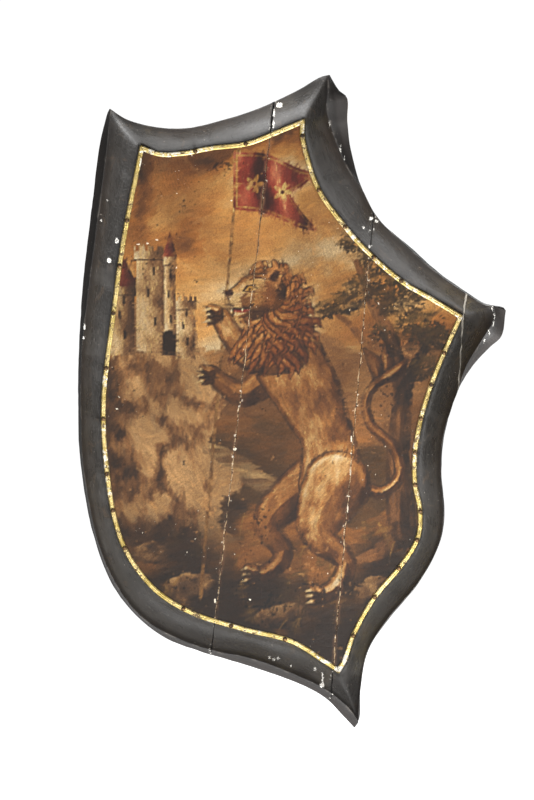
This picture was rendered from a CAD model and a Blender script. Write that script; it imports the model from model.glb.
"""Looks of a wooden parade shield: a painted field in gilt strips, a swept rim and fittings behind."""

import copy
import logging
import math
from dataclasses import dataclass
from enum import Enum
from typing import Iterable, Sequence

import bmesh
import bpy
import numpy as np
from mathutils import Matrix, Vector


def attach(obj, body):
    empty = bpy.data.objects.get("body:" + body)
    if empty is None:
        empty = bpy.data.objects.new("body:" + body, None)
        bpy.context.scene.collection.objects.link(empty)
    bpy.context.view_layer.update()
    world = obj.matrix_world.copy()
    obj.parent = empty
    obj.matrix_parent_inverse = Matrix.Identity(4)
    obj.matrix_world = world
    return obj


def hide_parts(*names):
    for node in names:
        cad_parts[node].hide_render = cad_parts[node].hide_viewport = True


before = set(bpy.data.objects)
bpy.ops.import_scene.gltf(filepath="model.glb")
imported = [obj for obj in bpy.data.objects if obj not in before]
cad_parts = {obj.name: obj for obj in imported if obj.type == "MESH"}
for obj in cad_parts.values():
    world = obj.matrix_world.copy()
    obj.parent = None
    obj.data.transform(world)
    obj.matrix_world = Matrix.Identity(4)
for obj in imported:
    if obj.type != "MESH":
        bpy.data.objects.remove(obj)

logging.basicConfig(level=logging.INFO, format="%(name)s: %(message)s")
log = logging.getLogger("shield")

MM = 0.001
WIDTH = 0.46
HEIGHT = 0.70
BATTEN_DEPTH = 0.016
BOARD_THICKNESS = 0.014
CROWN = 0.006
HOLLOW = 0.004
ARM_LINE_Z = -0.1225
FIT_GAP = 0.0003
MERGED_WITHIN = 1e-7
CUT_WITHIN = 1e-6
JOINT_WANDER = 0.0032
JOINT_STRIP = 0.0035
FIELD_ROWS = 4
COVE_ROWS = 16
CREST_ROW = FIELD_ROWS + COVE_ROWS - 1
BACK_ROW = CREST_ROW + 3

Rgb = tuple[float, float, float]
Array = np.ndarray
Form = bmesh.types.BMesh
Material = bpy.types.Material


class Side(Enum):
    """The four sides of the field, clockwise from the top left corner."""

    TOP = "top"
    NOTCH = "notch"
    RIGHT = "right"
    LEFT = "left"


SIDES = list(Side)
FIELD_SHARES = {
    Side.TOP: [
        (-0.281, 0.218), (-0.239, 0.208), (-0.178, 0.21), (-0.122, 0.217), (-0.037, 0.224), (0.019, 0.237),
    ],
    Side.NOTCH: [
        (0.095, 0.258), (0.094, 0.237), (0.101, 0.214), (0.132, 0.154), (0.194, 0.097), (0.243, 0.061),
        (0.325, 0.014), (0.405, -0.017),
    ],
    Side.RIGHT: [
        (0.464, -0.041), (0.427, -0.095), (0.396, -0.145), (0.372, -0.197), (0.358, -0.249), (0.358, -0.299),
        (0.37, -0.339), (0.363, -0.383), (0.323, -0.425), (0.264, -0.471), (0.213, -0.531), (0.193, -0.568),
    ],
    Side.LEFT: [
        (0.178, -0.584), (0.146, -0.57), (0.07, -0.54), (-0.047, -0.52), (-0.166, -0.495), (-0.252, -0.459),
        (-0.319, -0.399), (-0.349, -0.337), (-0.367, -0.251), (-0.371, -0.197), (-0.367, -0.138),
        (-0.347, -0.035), (-0.325, 0.07), (-0.3, 0.157),
    ],
}
CREST_SHARES = {
    Side.TOP: [
        (-0.353, 0.276), (-0.312, 0.259), (-0.237, 0.247), (-0.167, 0.247), (-0.089, 0.259), (-0.012, 0.275),
        (0.082, 0.303), (0.136, 0.323),
    ],
    Side.NOTCH: [
        (0.154, 0.326), (0.153, 0.3), (0.149, 0.278), (0.161, 0.247), (0.194, 0.193), (0.233, 0.153),
        (0.264, 0.113), (0.34, 0.064), (0.412, 0.022), (0.473, -0.006), (0.517, -0.024),
    ],
    Side.RIGHT: [
        (0.538, -0.025), (0.541, -0.045), (0.521, -0.067), (0.503, -0.086), (0.477, -0.115), (0.459, -0.149),
        (0.423, -0.223), (0.417, -0.28), (0.423, -0.35), (0.411, -0.392), (0.363, -0.449), (0.291, -0.505),
        (0.246, -0.551), (0.228, -0.611),
    ],
    Side.LEFT: [
        (0.224, -0.66), (0.202, -0.639), (0.146, -0.61), (0.062, -0.584), (-0.023, -0.564), (-0.113, -0.552),
        (-0.19, -0.535), (-0.262, -0.51), (-0.313, -0.477), (-0.373, -0.404), (-0.412, -0.29),
        (-0.42, -0.239), (-0.42, -0.093), (-0.406, -0.012), (-0.387, 0.086), (-0.369, 0.175), (-0.359, 0.23),
    ],
}
BACK_EDGE_SHARES = {
    Side.TOP: [
        (-0.356, 0.278), (-0.313, 0.261), (-0.237, 0.249), (-0.167, 0.249), (-0.089, 0.261), (-0.012, 0.277),
        (0.082, 0.305), (0.136, 0.325),
    ],
    Side.NOTCH: [
        (0.158, 0.328), (0.18, 0.305), (0.199, 0.293), (0.2, 0.257), (0.21, 0.209), (0.235, 0.154),
        (0.273, 0.108), (0.344, 0.067), (0.416, 0.025), (0.476, -0.003), (0.522, -0.022), (0.563, -0.027),
    ],
    Side.RIGHT: [
        (0.57, -0.032), (0.559, -0.072), (0.532, -0.089), (0.49, -0.119), (0.452, -0.163), (0.427, -0.223),
        (0.42, -0.279), (0.427, -0.35), (0.414, -0.392), (0.366, -0.45), (0.294, -0.507), (0.248, -0.553),
        (0.23, -0.612), (0.227, -0.657),
    ],
    Side.LEFT: [
        (0.215, -0.671), (0.189, -0.653), (0.146, -0.625), (0.076, -0.601), (-0.04, -0.575),
        (-0.154, -0.553), (-0.226, -0.534), (-0.284, -0.506), (-0.347, -0.456), (-0.396, -0.373),
        (-0.424, -0.268), (-0.43, -0.209), (-0.424, -0.031), (-0.397, 0.135),
        (-0.378, 0.229), (-0.359, 0.275),
    ],
}
TACK_SHARES = {
    Side.TOP: [0.329, 0.635],
    Side.NOTCH: [0.054, 0.269, 0.44, 0.599, 0.737],
    Side.RIGHT: [0.103, 0.192, 0.283, 0.373, 0.457, 0.527, 0.602, 0.69, 0.787, 0.901],
    Side.LEFT: [0.094, 0.178, 0.255, 0.385, 0.445, 0.501, 0.585, 0.662, 0.746, 0.818, 0.888],
}


@dataclass(frozen=True)
class BoardJoint:
    """A joint between two boards: where it crosses the origin's level, and its lean to the right upwards."""

    x: float
    lean: float


BOARD_JOINTS = [
    BoardJoint(-0.022 * WIDTH, 0.173 * WIDTH / HEIGHT),
    BoardJoint(0.244 * WIDTH, 0.134 * WIDTH / HEIGHT),
    BoardJoint(0.476 * WIDTH, 0.122 * WIDTH / HEIGHT),
]


def board_front(x: Array, z: Array) -> Array:
    """How far in front of the battens' rear faces the boards' front lies, in metres."""
    crown_and_hollow = CROWN * (1 - (x / (WIDTH / 2)) ** 2) + HOLLOW * ((z - ARM_LINE_Z) / (HEIGHT / 2)) ** 2
    return BATTEN_DEPTH + BOARD_THICKNESS + crown_and_hollow


def board_rear_y(x: Array, z: Array) -> Array:
    """The y of the boards' rear face."""
    return BOARD_THICKNESS - board_front(x, z)


def at_shares(line: Array, shares: Array) -> Array:
    """The points at shares of a line's length."""
    run = np.concatenate([[0], np.cumsum(np.linalg.norm(np.diff(line, axis=0), axis=1))])
    return np.column_stack([np.interp(shares * run[-1], run, column) for column in line.T])


def unit(rows: Array) -> Array:
    """Vectors made one metre long, one a row."""
    return rows / np.linalg.norm(rows, axis=1)[:, None]


def curve_at(points: Array, shares: Array) -> Array:
    """Follow a centripetal curve through points.

    Args:
        points: The points that it passes, one a row.
        shares: Where to take it, from 0 to 1 along its length.

    Returns:
        One point for each share.
    """
    reach = np.vstack([2 * points[0] - points[1], points, 2 * points[-1] - points[-2]])
    step = np.linspace(0, 1, 24, endpoint=False)[:, None]
    pieces = []
    for first in range(len(points) - 1):
        before, start, end, after = reach[first:first + 4]
        left, middle, right = np.sqrt(np.linalg.norm(np.diff(reach[first:first + 4], axis=0), axis=1))
        chord = (end - start) / middle
        leave = middle * ((start - before) / left - (end - before) / (left + middle) + chord)
        arrive = middle * (chord - (after - start) / (middle + right) + (after - end) / right)
        square = -3 * start + 3 * end - 2 * leave - arrive
        cube = 2 * start - 2 * end + leave + arrive
        pieces.append(start + leave * step + square * step ** 2 + cube * step ** 3)
    return at_shares(np.vstack([*pieces, points[-1:]]), shares)


def side_points(shares: dict[Side, list], side: Side) -> Array:
    """The points of one side in metres, up to and with the first of the next side."""
    following = SIDES[(SIDES.index(side) + 1) % len(SIDES)]
    return np.array([*shares[side], shares[following][0]]) * (WIDTH, HEIGHT)


def hash_noise(x: Array, y: Array, seed: int) -> Array:
    """Smooth noise from 0 to 1.

    Args:
        x: Places across, one lattice cell for each whole number.
        y: Places up.
        seed: What its values come from.

    Returns:
        The noise at each place.
    """
    column, row = np.floor(x).astype(np.int64), np.floor(y).astype(np.int64)
    across, up = ((gap * gap * (3 - 2 * gap)) for gap in (x - column, y - row))

    def corner(right: int, above: int) -> Array:
        """The lattice value at one corner of each cell."""
        mixed = (column + right) * 374761393 + (row + above) * 668265263 + seed * 982451
        mixed = ((mixed ^ (mixed >> 13)) * 1274126177) & 0x7FFFFFFF
        return ((mixed ^ (mixed >> 15)) & 0xFFFF) / 65535.0

    low = corner(0, 0) * (1 - across) + corner(1, 0) * across
    high = corner(0, 1) * (1 - across) + corner(1, 1) * across
    return low * (1 - up) + high * up


def cloudy(x: Array, y: Array, seed: int, octaves: int = 4) -> Array:
    """Layered noise about 0, from about -1 to 1."""
    scales = 2.0 ** np.arange(octaves)
    return sum((hash_noise(x * scale, y * scale, seed + k) - 0.5) / scale for k, scale in enumerate(scales))


def lofted(rings: Array, capped: bool = False) -> Form:
    """A skin over rows of points: a grid whose vertices are moved onto them, with its seam and poles merged.

    Args:
        rings: Points as rows, columns and coordinates; each row closes on itself.
        capped: Whether the first and last rows are closed at their middles.

    Returns:
        The skin, with the numbers of its row and column kept on each vertex as "lay".
    """
    if capped:
        caps = rings[[0, -1]].mean(axis=1, keepdims=True).repeat(rings.shape[1], axis=1)
        rings = np.concatenate([caps[:1], rings, caps[1:]])
    rows, columns = rings.shape[:2]
    form = bmesh.new()
    bmesh.ops.create_grid(form, x_segments=columns, y_segments=rows - 1, size=0.5)
    kept = form.verts.layers.float_vector.new("lay")
    for vert in form.verts:
        row, column = round((vert.co.y + 0.5) * (rows - 1)), round((vert.co.x + 0.5) * columns) % columns
        vert[kept] = (row, column, 0)
        vert.co = rings[row, column]
    bmesh.ops.remove_doubles(form, verts=form.verts[:], dist=MERGED_WITHIN)
    bmesh.ops.recalc_face_normals(form, faces=form.faces[:])
    return form


def moved(form: Form, place: Sequence[float], turn: Matrix | None = None) -> Form:
    """Turn a form about the origin, then carry it to its place.

    Args:
        form: The form, changed in place.
        place: Where its origin goes.
        turn: Its turn, or None where it has none.

    Returns:
        The form.
    """
    whole = Matrix.Translation(place) @ (turn or Matrix.Identity(3)).to_4x4()
    bmesh.ops.transform(form, matrix=whole, verts=form.verts[:])
    return form


def finished(name: str, form: Form, materials: Sequence[Material], crisp: float = 0) -> bpy.types.Object:
    """Make an object of a form, at the origin, with its materials.

    Args:
        name: The piece's name.
        form: Its mesh, which is freed.
        materials: Its materials, by the faces' material numbers.
        crisp: The turn in degrees from which an edge stays sharp, or 0 where all is smooth.

    Returns:
        The new object.
    """
    mesh = bpy.data.meshes.new(name)
    form.to_mesh(mesh)
    form.free()
    for material in materials:
        mesh.materials.append(material)
    mesh.shade_smooth()
    if crisp:
        mesh.set_sharp_from_angle(angle=math.radians(crisp))
    piece = bpy.data.objects.new(name, mesh)
    bpy.context.scene.collection.objects.link(piece)
    return piece


def settled(piece: bpy.types.Object, slot: str, *nodes: str, body: str = "shield") -> None:
    """Fix a piece to its CAD body, name its slot and the nodes that it stands for, and log it.

    Args:
        piece: The piece.
        slot: The material slot of the record that it takes its finish from.
        nodes: The CAD nodes that it stands for.
        body: The CAD body that it rides on.
    """
    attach(piece, body)
    if nodes:
        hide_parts(*nodes)
    log.info("%s: %d faces, on %s", piece.name, len(piece.data.polygons), body)


def numbered(values: Iterable[object]) -> dict[str, object]:
    """Inputs of a node by number, in their order."""
    return {f"i{number}": value for number, value in enumerate(values)}


class Pattern:
    """One output of a shader node, with the sums and patterns that are made from it."""

    def __init__(
        self, tree: bpy.types.NodeTree, kind: str, settings: dict | None = None, output: int | str = 0,
        **inputs: object,
    ) -> None:
        """Place a node.

        Args:
            tree: The tree that it stands in.
            kind: Its type, a shader node's without the common start of the name.
            settings: Its own properties.
            output: The output that is meant.
            inputs: Values or patterns by input name, with _ for a space, or i0, i1 and so on by number.
        """
        self.tree = tree
        self.output = output
        self.node = tree.nodes.new(kind if kind.startswith("NodeGroup") else f"ShaderNode{kind}")
        for key, value in (settings or {}).items():
            setattr(self.node, key, value)
        self.feed(**inputs)

    def feed(self, **inputs: object) -> None:
        """Set or join some of the node's inputs.

        Args:
            inputs: Values or patterns, as for a new node.
        """
        for key, value in inputs.items():
            by_number = key[0] == "i" and key[1:].isdigit()
            socket = self.node.inputs[int(key[1:]) if by_number else key.replace("_", " ")]
            if isinstance(value, Pattern):
                self.tree.links.new(value.node.outputs[value.output], socket)
            else:
                colour = isinstance(value, tuple) and len(value) == 3 and socket.type == "RGBA"
                socket.default_value = (*value, 1) if colour else value

    def made(self, kind: str, *others: object, **inputs: object) -> "Pattern":
        """Place another node in the same tree."""
        return Pattern(self.tree, kind, *others, **inputs)

    def __getitem__(self, output: int | str) -> "Pattern":
        """Take another output of the same node.

        Args:
            output: The output's name or number.

        Returns:
            The same node with that output.
        """
        other = copy.copy(self)
        other.output = output
        return other

    def sum(self, operation: str, *values: object) -> "Pattern":
        """The result of a sum on numbers."""
        return self.made("Math", {"operation": operation}, **numbered(values))

    def __add__(self, other: object) -> "Pattern":
        """This and another number."""
        return self.sum("ADD", self, other)

    def __sub__(self, other: object) -> "Pattern":
        """This less another number."""
        return self.sum("SUBTRACT", self, other)

    def __rsub__(self, other: object) -> "Pattern":
        """Another number less this."""
        return self.sum("SUBTRACT", other, self)

    def __mul__(self, other: object) -> "Pattern":
        """This times another number."""
        return self.sum("MULTIPLY", self, other)

    def __truediv__(self, other: object) -> "Pattern":
        """This divided by another number."""
        return self.sum("DIVIDE", self, other)

    def __or__(self, other: object) -> "Pattern":
        """The greater of this and another number, so that one mask joins another."""
        return self.sum("MAXIMUM", self, other)

    def __abs__(self) -> "Pattern":
        """This without its sign."""
        return self.sum("ABSOLUTE", self)

    def clamped(self) -> "Pattern":
        """The same result, kept from 0 to 1."""
        self.node.use_clamp = True
        return self

    def spread(self, low: float, high: float, start: float = 0, end: float = 1) -> "Pattern":
        """This value's range from low to high carried over smoothly to start and end."""
        settings = {"interpolation_type": "SMOOTHSTEP"}
        return self.made("MapRange", settings, i0=self, i1=low, i2=high, i3=start, i4=end)

    def between(self, first: object, second: object) -> "Pattern":
        """One colour where this is 0, and another where it is 1."""
        return self.made("Mix", {"data_type": "RGBA"}, 2, i0=self, i6=first, i7=second)

    def tinted(self, tint: object) -> "Pattern":
        """This colour multiplied by another."""
        return self.made("Mix", {"data_type": "RGBA", "blend_type": "MULTIPLY"}, 2, i0=1.0, i6=self, i7=tint)

    def painted(self, *coats: tuple[object, object]) -> "Pattern":
        """Lay other colours over this one.

        Args:
            coats: For each, how much of it covers and its colour.

        Returns:
            The last colour.
        """
        colour = self
        for share, paint in coats:
            colour = self.made("Mix", {"data_type": "RGBA"}, 2, i0=share, i6=colour, i7=paint)
        return colour

    def noise(self, scale: object, detail: float = 4, rough: float = 0.5, bend: float = 0) -> "Pattern":
        """Noise over these coordinates, of a scale per metre."""
        look = {"Detail": detail, "Roughness": rough, "Distortion": bend}
        return self.made("TexNoise", Vector=self, Scale=scale, **look)

    def cells(self, scale: float, feature: str = "DISTANCE_TO_EDGE") -> "Pattern":
        """The distances in a pattern of cells over these coordinates."""
        return self.made("TexVoronoi", {"feature": feature}, "Distance", Vector=self, Scale=scale)

    def shifted(self, operation: str, *values: object) -> "Pattern":
        """The result of a sum on these coordinates and others."""
        return self.made("VectorMath", {"operation": operation}, **numbered((self, *values)))

    def stretched(self, *scale: float) -> "Pattern":
        """These coordinates multiplied along each axis."""
        return self.shifted("MULTIPLY", scale)

    def turned(self, *angles: float) -> "Pattern":
        """These coordinates turned about each axis."""
        return self.made("Mapping", {"vector_type": "POINT"}, Vector=self, Rotation=angles)

    def axes(self) -> list["Pattern"]:
        """These coordinates' x, y and z."""
        apart = self.made("SeparateXYZ", i0=self)
        return [apart[axis] for axis in range(3)]

    def kept(self, name: str, output: str) -> "Pattern":
        """What the mesh keeps on its points under a name."""
        return self.made("Attribute", {"attribute_name": name}, output)

    def through(self, group: bpy.types.NodeTree, **inputs: object) -> "Pattern":
        """A shared group over these coordinates."""
        return self.made("Group", {"node_tree": group}, Place=self, **inputs)


def new_group(name: str, numbers: dict[str, float], outputs: Iterable[str]) -> tuple[Pattern, Pattern]:
    """Start a shared node group that reads coordinates and numbers, and puts out numbers.

    Args:
        name: Its name.
        numbers: Its number inputs, with the default of each.
        outputs: The names of its outputs.

    Returns:
        Its coordinates, on its input node, and its output node.
    """
    tree = bpy.data.node_groups.new(name, "ShaderNodeTree")
    tree.interface.new_socket("Place", in_out="INPUT", socket_type="NodeSocketVector")
    for label, default in numbers.items():
        socket = tree.interface.new_socket(label, in_out="INPUT", socket_type="NodeSocketFloat")
        socket.default_value = default
    for label in outputs:
        tree.interface.new_socket(label, in_out="OUTPUT", socket_type="NodeSocketFloat")
    return Pattern(tree, "NodeGroupInput", output="Place"), Pattern(tree, "NodeGroupOutput")


class Workshop:
    """The node groups that the finishes share."""

    def __init__(self) -> None:
        """Build them."""
        self.wear, self.grain, self.joint = self.wear_group(), self.grain_group(), self.joint_group()

    def wear_group(self) -> bpy.types.NodeTree:
        """Grime and rubbing: soft stains, fine scratches and a mask of rubbed places."""
        outputs = ("Stains", "Scratches", "Rubbed")
        place, out = new_group("Age marks", {"Stain size": 30.0, "Rub": 0.5}, outputs)
        scratches = place.stretched(900, 900, 60).noise(1.0, 2, 0.5, 0.6).spread(0.64, 0.72)
        rubbed = (place.noise(55, 6, 0.7) - (1.0 - place["Rub"])) * 8.0
        out.feed(
            Stains=place.noise(place["Stain size"], 5, 0.6), Rubbed=rubbed.clamped(),
            Scratches=scratches * place.noise(22, 3).spread(0.5, 0.65),
        )
        return out.tree

    def grain_group(self) -> bpy.types.NodeTree:
        """Wood grain that runs along Z: dark and light streaks, and pores."""
        place, out = new_group("Wood grain", {"Ring width": 90.0}, ("Figure", "Pores"))
        x, _, z = place.axes()
        across = x * place["Ring width"] + place.stretched(9, 9, 1.6).noise(1.0, 3) * 7.0
        rings = place.made("CombineXYZ", i0=across, i2=z * 1.5).noise(1.0, 5, 0.68)
        streaks = place.stretched(420, 420, 9).noise(1.0, 4, 0.6)
        pores = place.stretched(2400, 2400, 70).noise(1.0, 2)
        out.feed(Figure=rings * 0.8 + streaks * 0.45, Pores=pores.spread(0.6, 0.72))
        return out.tree

    def joint_group(self) -> bpy.types.NodeTree:
        """A crack that wanders along a joint between two boards."""
        numbers = {"Across": 0.0, "Lean": 0.0, "Half width": 0.0005}
        place, out = new_group("Board joint", numbers, ("Crack", "Beside", "Past"))
        x, _, z = place.axes()
        line = z * place["Lean"] + place["Across"]
        level = place.stretched(0, 0, 1)
        gap = abs(x - line - (level.noise(70, 5, 0.65) - 0.5) * JOINT_WANDER)
        wide = place["Half width"] * level.noise(45, 3).spread(0.25, 0.75, 0.15, 1.9)
        wide = wide * z.spread(0.150, 0.170, 1.0, 1.9)
        crack, beside = 1.5 - gap / wide, 1.0 - gap / JOINT_STRIP
        out.feed(Crack=crack.clamped(), Beside=beside.clamped(), Past=x.sum("GREATER_THAN", x, line))
        return out.tree

    def joints(self, place: Pattern, half_width: float) -> list[Pattern]:
        """The board joints from left to right: each a crack, the strip beside it and the place past it."""
        lines = [{"Across": joint.x, "Lean": joint.lean} for joint in BOARD_JOINTS]
        return [place.through(self.joint, Half_width=half_width, **line) for line in lines]


def cleared(owner: Material | bpy.types.World) -> bpy.types.NodeTree:
    """Empty the node tree of a new material or world.

    Args:
        owner: The material or world.

    Returns:
        Its tree.
    """
    owner.use_nodes = True
    owner.node_tree.nodes.clear()
    return owner.node_tree


class Finish:
    """A new material: its Principled BSDF and the piece's own coordinates in metres."""

    def __init__(self, name: str) -> None:
        """Start the material.

        Args:
            name: Its name.
        """
        self.material = bpy.data.materials.new(name)
        self.surface = Pattern(cleared(self.material), "BsdfPrincipled")
        self.surface.made("OutputMaterial", Surface=self.surface)
        self.place = self.surface.made("TexCoord", output="Object")

    def coated(
        self, colour: Pattern, rough: Pattern, height: Pattern, strength: float, depth: float,
        **others: object,
    ) -> Material:
        """Lay the finish on the surface.

        Args:
            colour: Its colour.
            rough: Its roughness.
            height: Its relief.
            strength: How strongly the relief shows.
            depth: How deep the relief is, in metres.
            others: Other inputs of the surface.

        Returns:
            The material.
        """
        relief = self.place.made("Bump", Strength=strength, Distance=depth, Height=height)
        self.surface.feed(Base_Color=colour, Roughness=rough, Normal=relief, **others)
        return self.material


@dataclass(frozen=True)
class Flake:
    """A place where the paint has come off its white ground: its middle and half sizes, in millimetres."""

    x: float
    z: float
    wide: float
    high: float
    hollow: bool = False


def flaked(place: Pattern, flakes: Iterable[Flake], ragged: float) -> Pattern:
    """A mask of flaked places with ragged edges.

    Args:
        place: The coordinates.
        flakes: The places.
        ragged: How far their edges wander, in metres.

    Returns:
        The mask.
    """
    stray = place.noise(520, 5, 0.7)["Color"].shifted("SUBTRACT", (0.5, 0.5, 0.5))
    wandering = stray.shifted("MULTIPLY_ADD", (ragged, 0, ragged), place)
    nearest = None
    for flake in flakes:
        centred = wandering.shifted("SUBTRACT", (flake.x * MM, 0, flake.z * MM))
        gap = centred.stretched(1 / (flake.wide * MM), 0, 1 / (flake.high * MM)).shifted("LENGTH")["Value"]
        if flake.hollow:
            gap = abs(gap - 0.75) + 0.62
        nearest = gap.sum("MINIMUM", nearest, gap) if nearest else gap
    return nearest.spread(1.0, 0.8)


@dataclass(frozen=True)
class BlackLacquer:
    """Aged black paint on the carved rim, with losses down to the white ground."""

    workshop: Workshop
    deep: Rgb = (0.022, 0.020, 0.018)
    faded: Rgb = (0.034, 0.031, 0.028)
    bloom: Rgb = (0.06, 0.055, 0.05)
    dust: Rgb = (0.066, 0.062, 0.058)
    ground: Rgb = (0.92, 0.89, 0.82)
    flakes: tuple[Flake, ...] = (
        Flake(18.5, 197, 3.4, 2.6), Flake(12.6, 190, 1, 4.5), Flake(12.2, 178, 0.9, 5),
        Flake(11.4, 168, 0.8, 3), Flake(117, 76.3, 2.2, 1.7), Flake(122.5, 73, 1.6, 1.4, True),
        Flake(109, 66.5, 1.3, 1.1), Flake(-156, 53, 1.8, 2.2, True), Flake(-164.5, 31.5, 2, 2, True),
        Flake(-190, -40, 0.9, 4), Flake(-191, -52, 0.9, 2), Flake(-178, 110, 0.8, 1.2),
        Flake(64.9, -416, 0.9, 6), Flake(64.4, -423, 2.7, 2.4), Flake(8, -394, 1.2, 1, True),
        Flake(12.5, -396, 1.2, 0.9, True), Flake(17, -395, 1, 1.3, True), Flake(31, -403, 0.8, 0.7),
        Flake(-197, -92, 0.7, 4), Flake(-188, -280, 1.2, 0.9), Flake(84, 150, 0.35, 5),
        Flake(72, 176, 0.3, 4), Flake(88, 140, 0.35, 3), Flake(-48, -395, 0.8, 2.2),
        Flake(246.5, -20, 0.35, 3), Flake(248.5, -29, 0.35, 3), Flake(247.5, -37, 0.3, 3),
        Flake(243, -46, 0.4, 3), Flake(238, -55, 0.35, 3), Flake(-166, 96, 0.7, 1),
        Flake(-172, 74, 0.7, 1), Flake(57, -407, 1.2, 1.7, True),
    )

    def make(self) -> Material:
        """Build the material."""
        finish = Finish("black lacquer")
        place = finish.place
        row, step, _ = place.kept("lay", "Vector").axes()
        streaks = place.made("CombineXYZ", i0=step * 0.11, i1=row * 0.5).noise(1.6, 6, 0.72, 1.2)
        bloom = place.stretched(1, 1, 0.8).noise(24, 7, 0.66, 1.4).spread(0.44, 0.74)
        low = place.axes()[2].spread(-0.16, -0.34) * place.noise(30).spread(0.3, 0.6, 0.5, 1.0)
        smudges = place.noise(64, 5, 0.65, 1.0).spread(0.56, 0.72)
        scratches = place.through(self.workshop.wear, Rub=0.40)["Scratches"]
        off_crest = abs(row - CREST_ROW)
        shade = off_crest.spread(4.0, 1.0, 0.0, 0.85)
        rubbed = off_crest.spread(0.9, 0.0) * place.noise(60, 5, 0.7).spread(0.50, 0.62)
        pits = place.noise(330, 3).spread(0.70, 0.76)
        first, second, third = self.workshop.joints(place, 0.00055)
        crack, beside = first[0] | second[0], first[1] | second[1]
        outer = row.spread(CREST_ROW + 0.8, CREST_ROW + 1.6)
        front = row.spread(CREST_ROW + 1.2, CREST_ROW + 0.6)
        specks = beside * place.noise(240, 4, 0.6).spread(0.60, 0.64)
        bare = front * flaked(place, self.flakes, 0.0075) | specks
        colour = streaks.spread(0.35, 0.7).between(self.deep, self.faded).painted(
            (bloom * 0.55, self.bloom), (low, self.dust), (smudges * 0.35, (0.12, 0.08, 0.05)),
            (scratches * 0.6, (0.2, 0.18, 0.16)), (shade, (0.012, 0.010, 0.009)),
            (rubbed * 0.35, (0.15, 0.13, 0.11)), (pits * 0.8, (0.25, 0.22, 0.19)),
            (crack, (0.005, 0.004, 0.004)), (outer * 0.8, (0.018, 0.014, 0.012)),
            (third[0] * front, (0.42, 0.39, 0.34)), (bare, self.ground),
        )
        rough = streaks.spread(0.3, 0.75, 0.25, 0.29) + (bloom | shade) * 0.2
        rough = rough | (bare | crack) * 0.95 | outer * 0.6
        height = place.cells(260).spread(0.0, 0.06) * 0.25 + place.noise(60, 5, 0.6)
        height = height + place.noise(420, 4, 0.6) * 0.22 - (crack | bare) * 0.8
        return finish.coated(colour, rough, height, 0.35, 0.0007, Specular_IOR_Level=0.46)


class Grain(Enum):
    """The axis that a piece's grain runs along, as the turn that brings it upright."""

    UP = (0.0, 0.0, 0.0)
    ACROSS = (0.0, math.pi / 2, 0.0)
    THROUGH = (math.pi / 2, 0.0, 0.0)


@dataclass(frozen=True)
class OldWood:
    """Bare aged wood, with grain along one axis."""

    workshop: Workshop
    name: str
    dark: Rgb
    light: Rgb
    along: Grain = Grain.UP
    boards: bool = False

    def make(self) -> Material:
        """Build the material."""
        finish = Finish(self.name)
        place = finish.place.turned(*self.along.value)
        joints = self.workshop.joints(place, 0.0004) if self.boards else []
        for joint in joints:
            place = joint[2].shifted("MULTIPLY_ADD", (0.37, 0.11, 1.3), place)
        grain = place.through(self.workshop.grain)
        stains = place.through(self.workshop.wear, Stain_size=14.0)["Stains"].spread(0.35, 0.7)
        figure = grain["Figure"].spread(0.38, 0.86)
        colour = figure.between(self.dark, self.light)
        colour = colour.painted(
            (0.45, colour.painted((stains, self.dark))), (grain["Pores"] * 0.5, (0.03, 0.02, 0.012)),
            *((joint[0], (0.012, 0.008, 0.005)) for joint in joints),
        )
        rough, height = figure.spread(0, 1, 0.72, 0.9), figure - grain["Pores"] * 0.8
        return finish.coated(colour, rough, height, 0.5, 0.0005)


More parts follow.
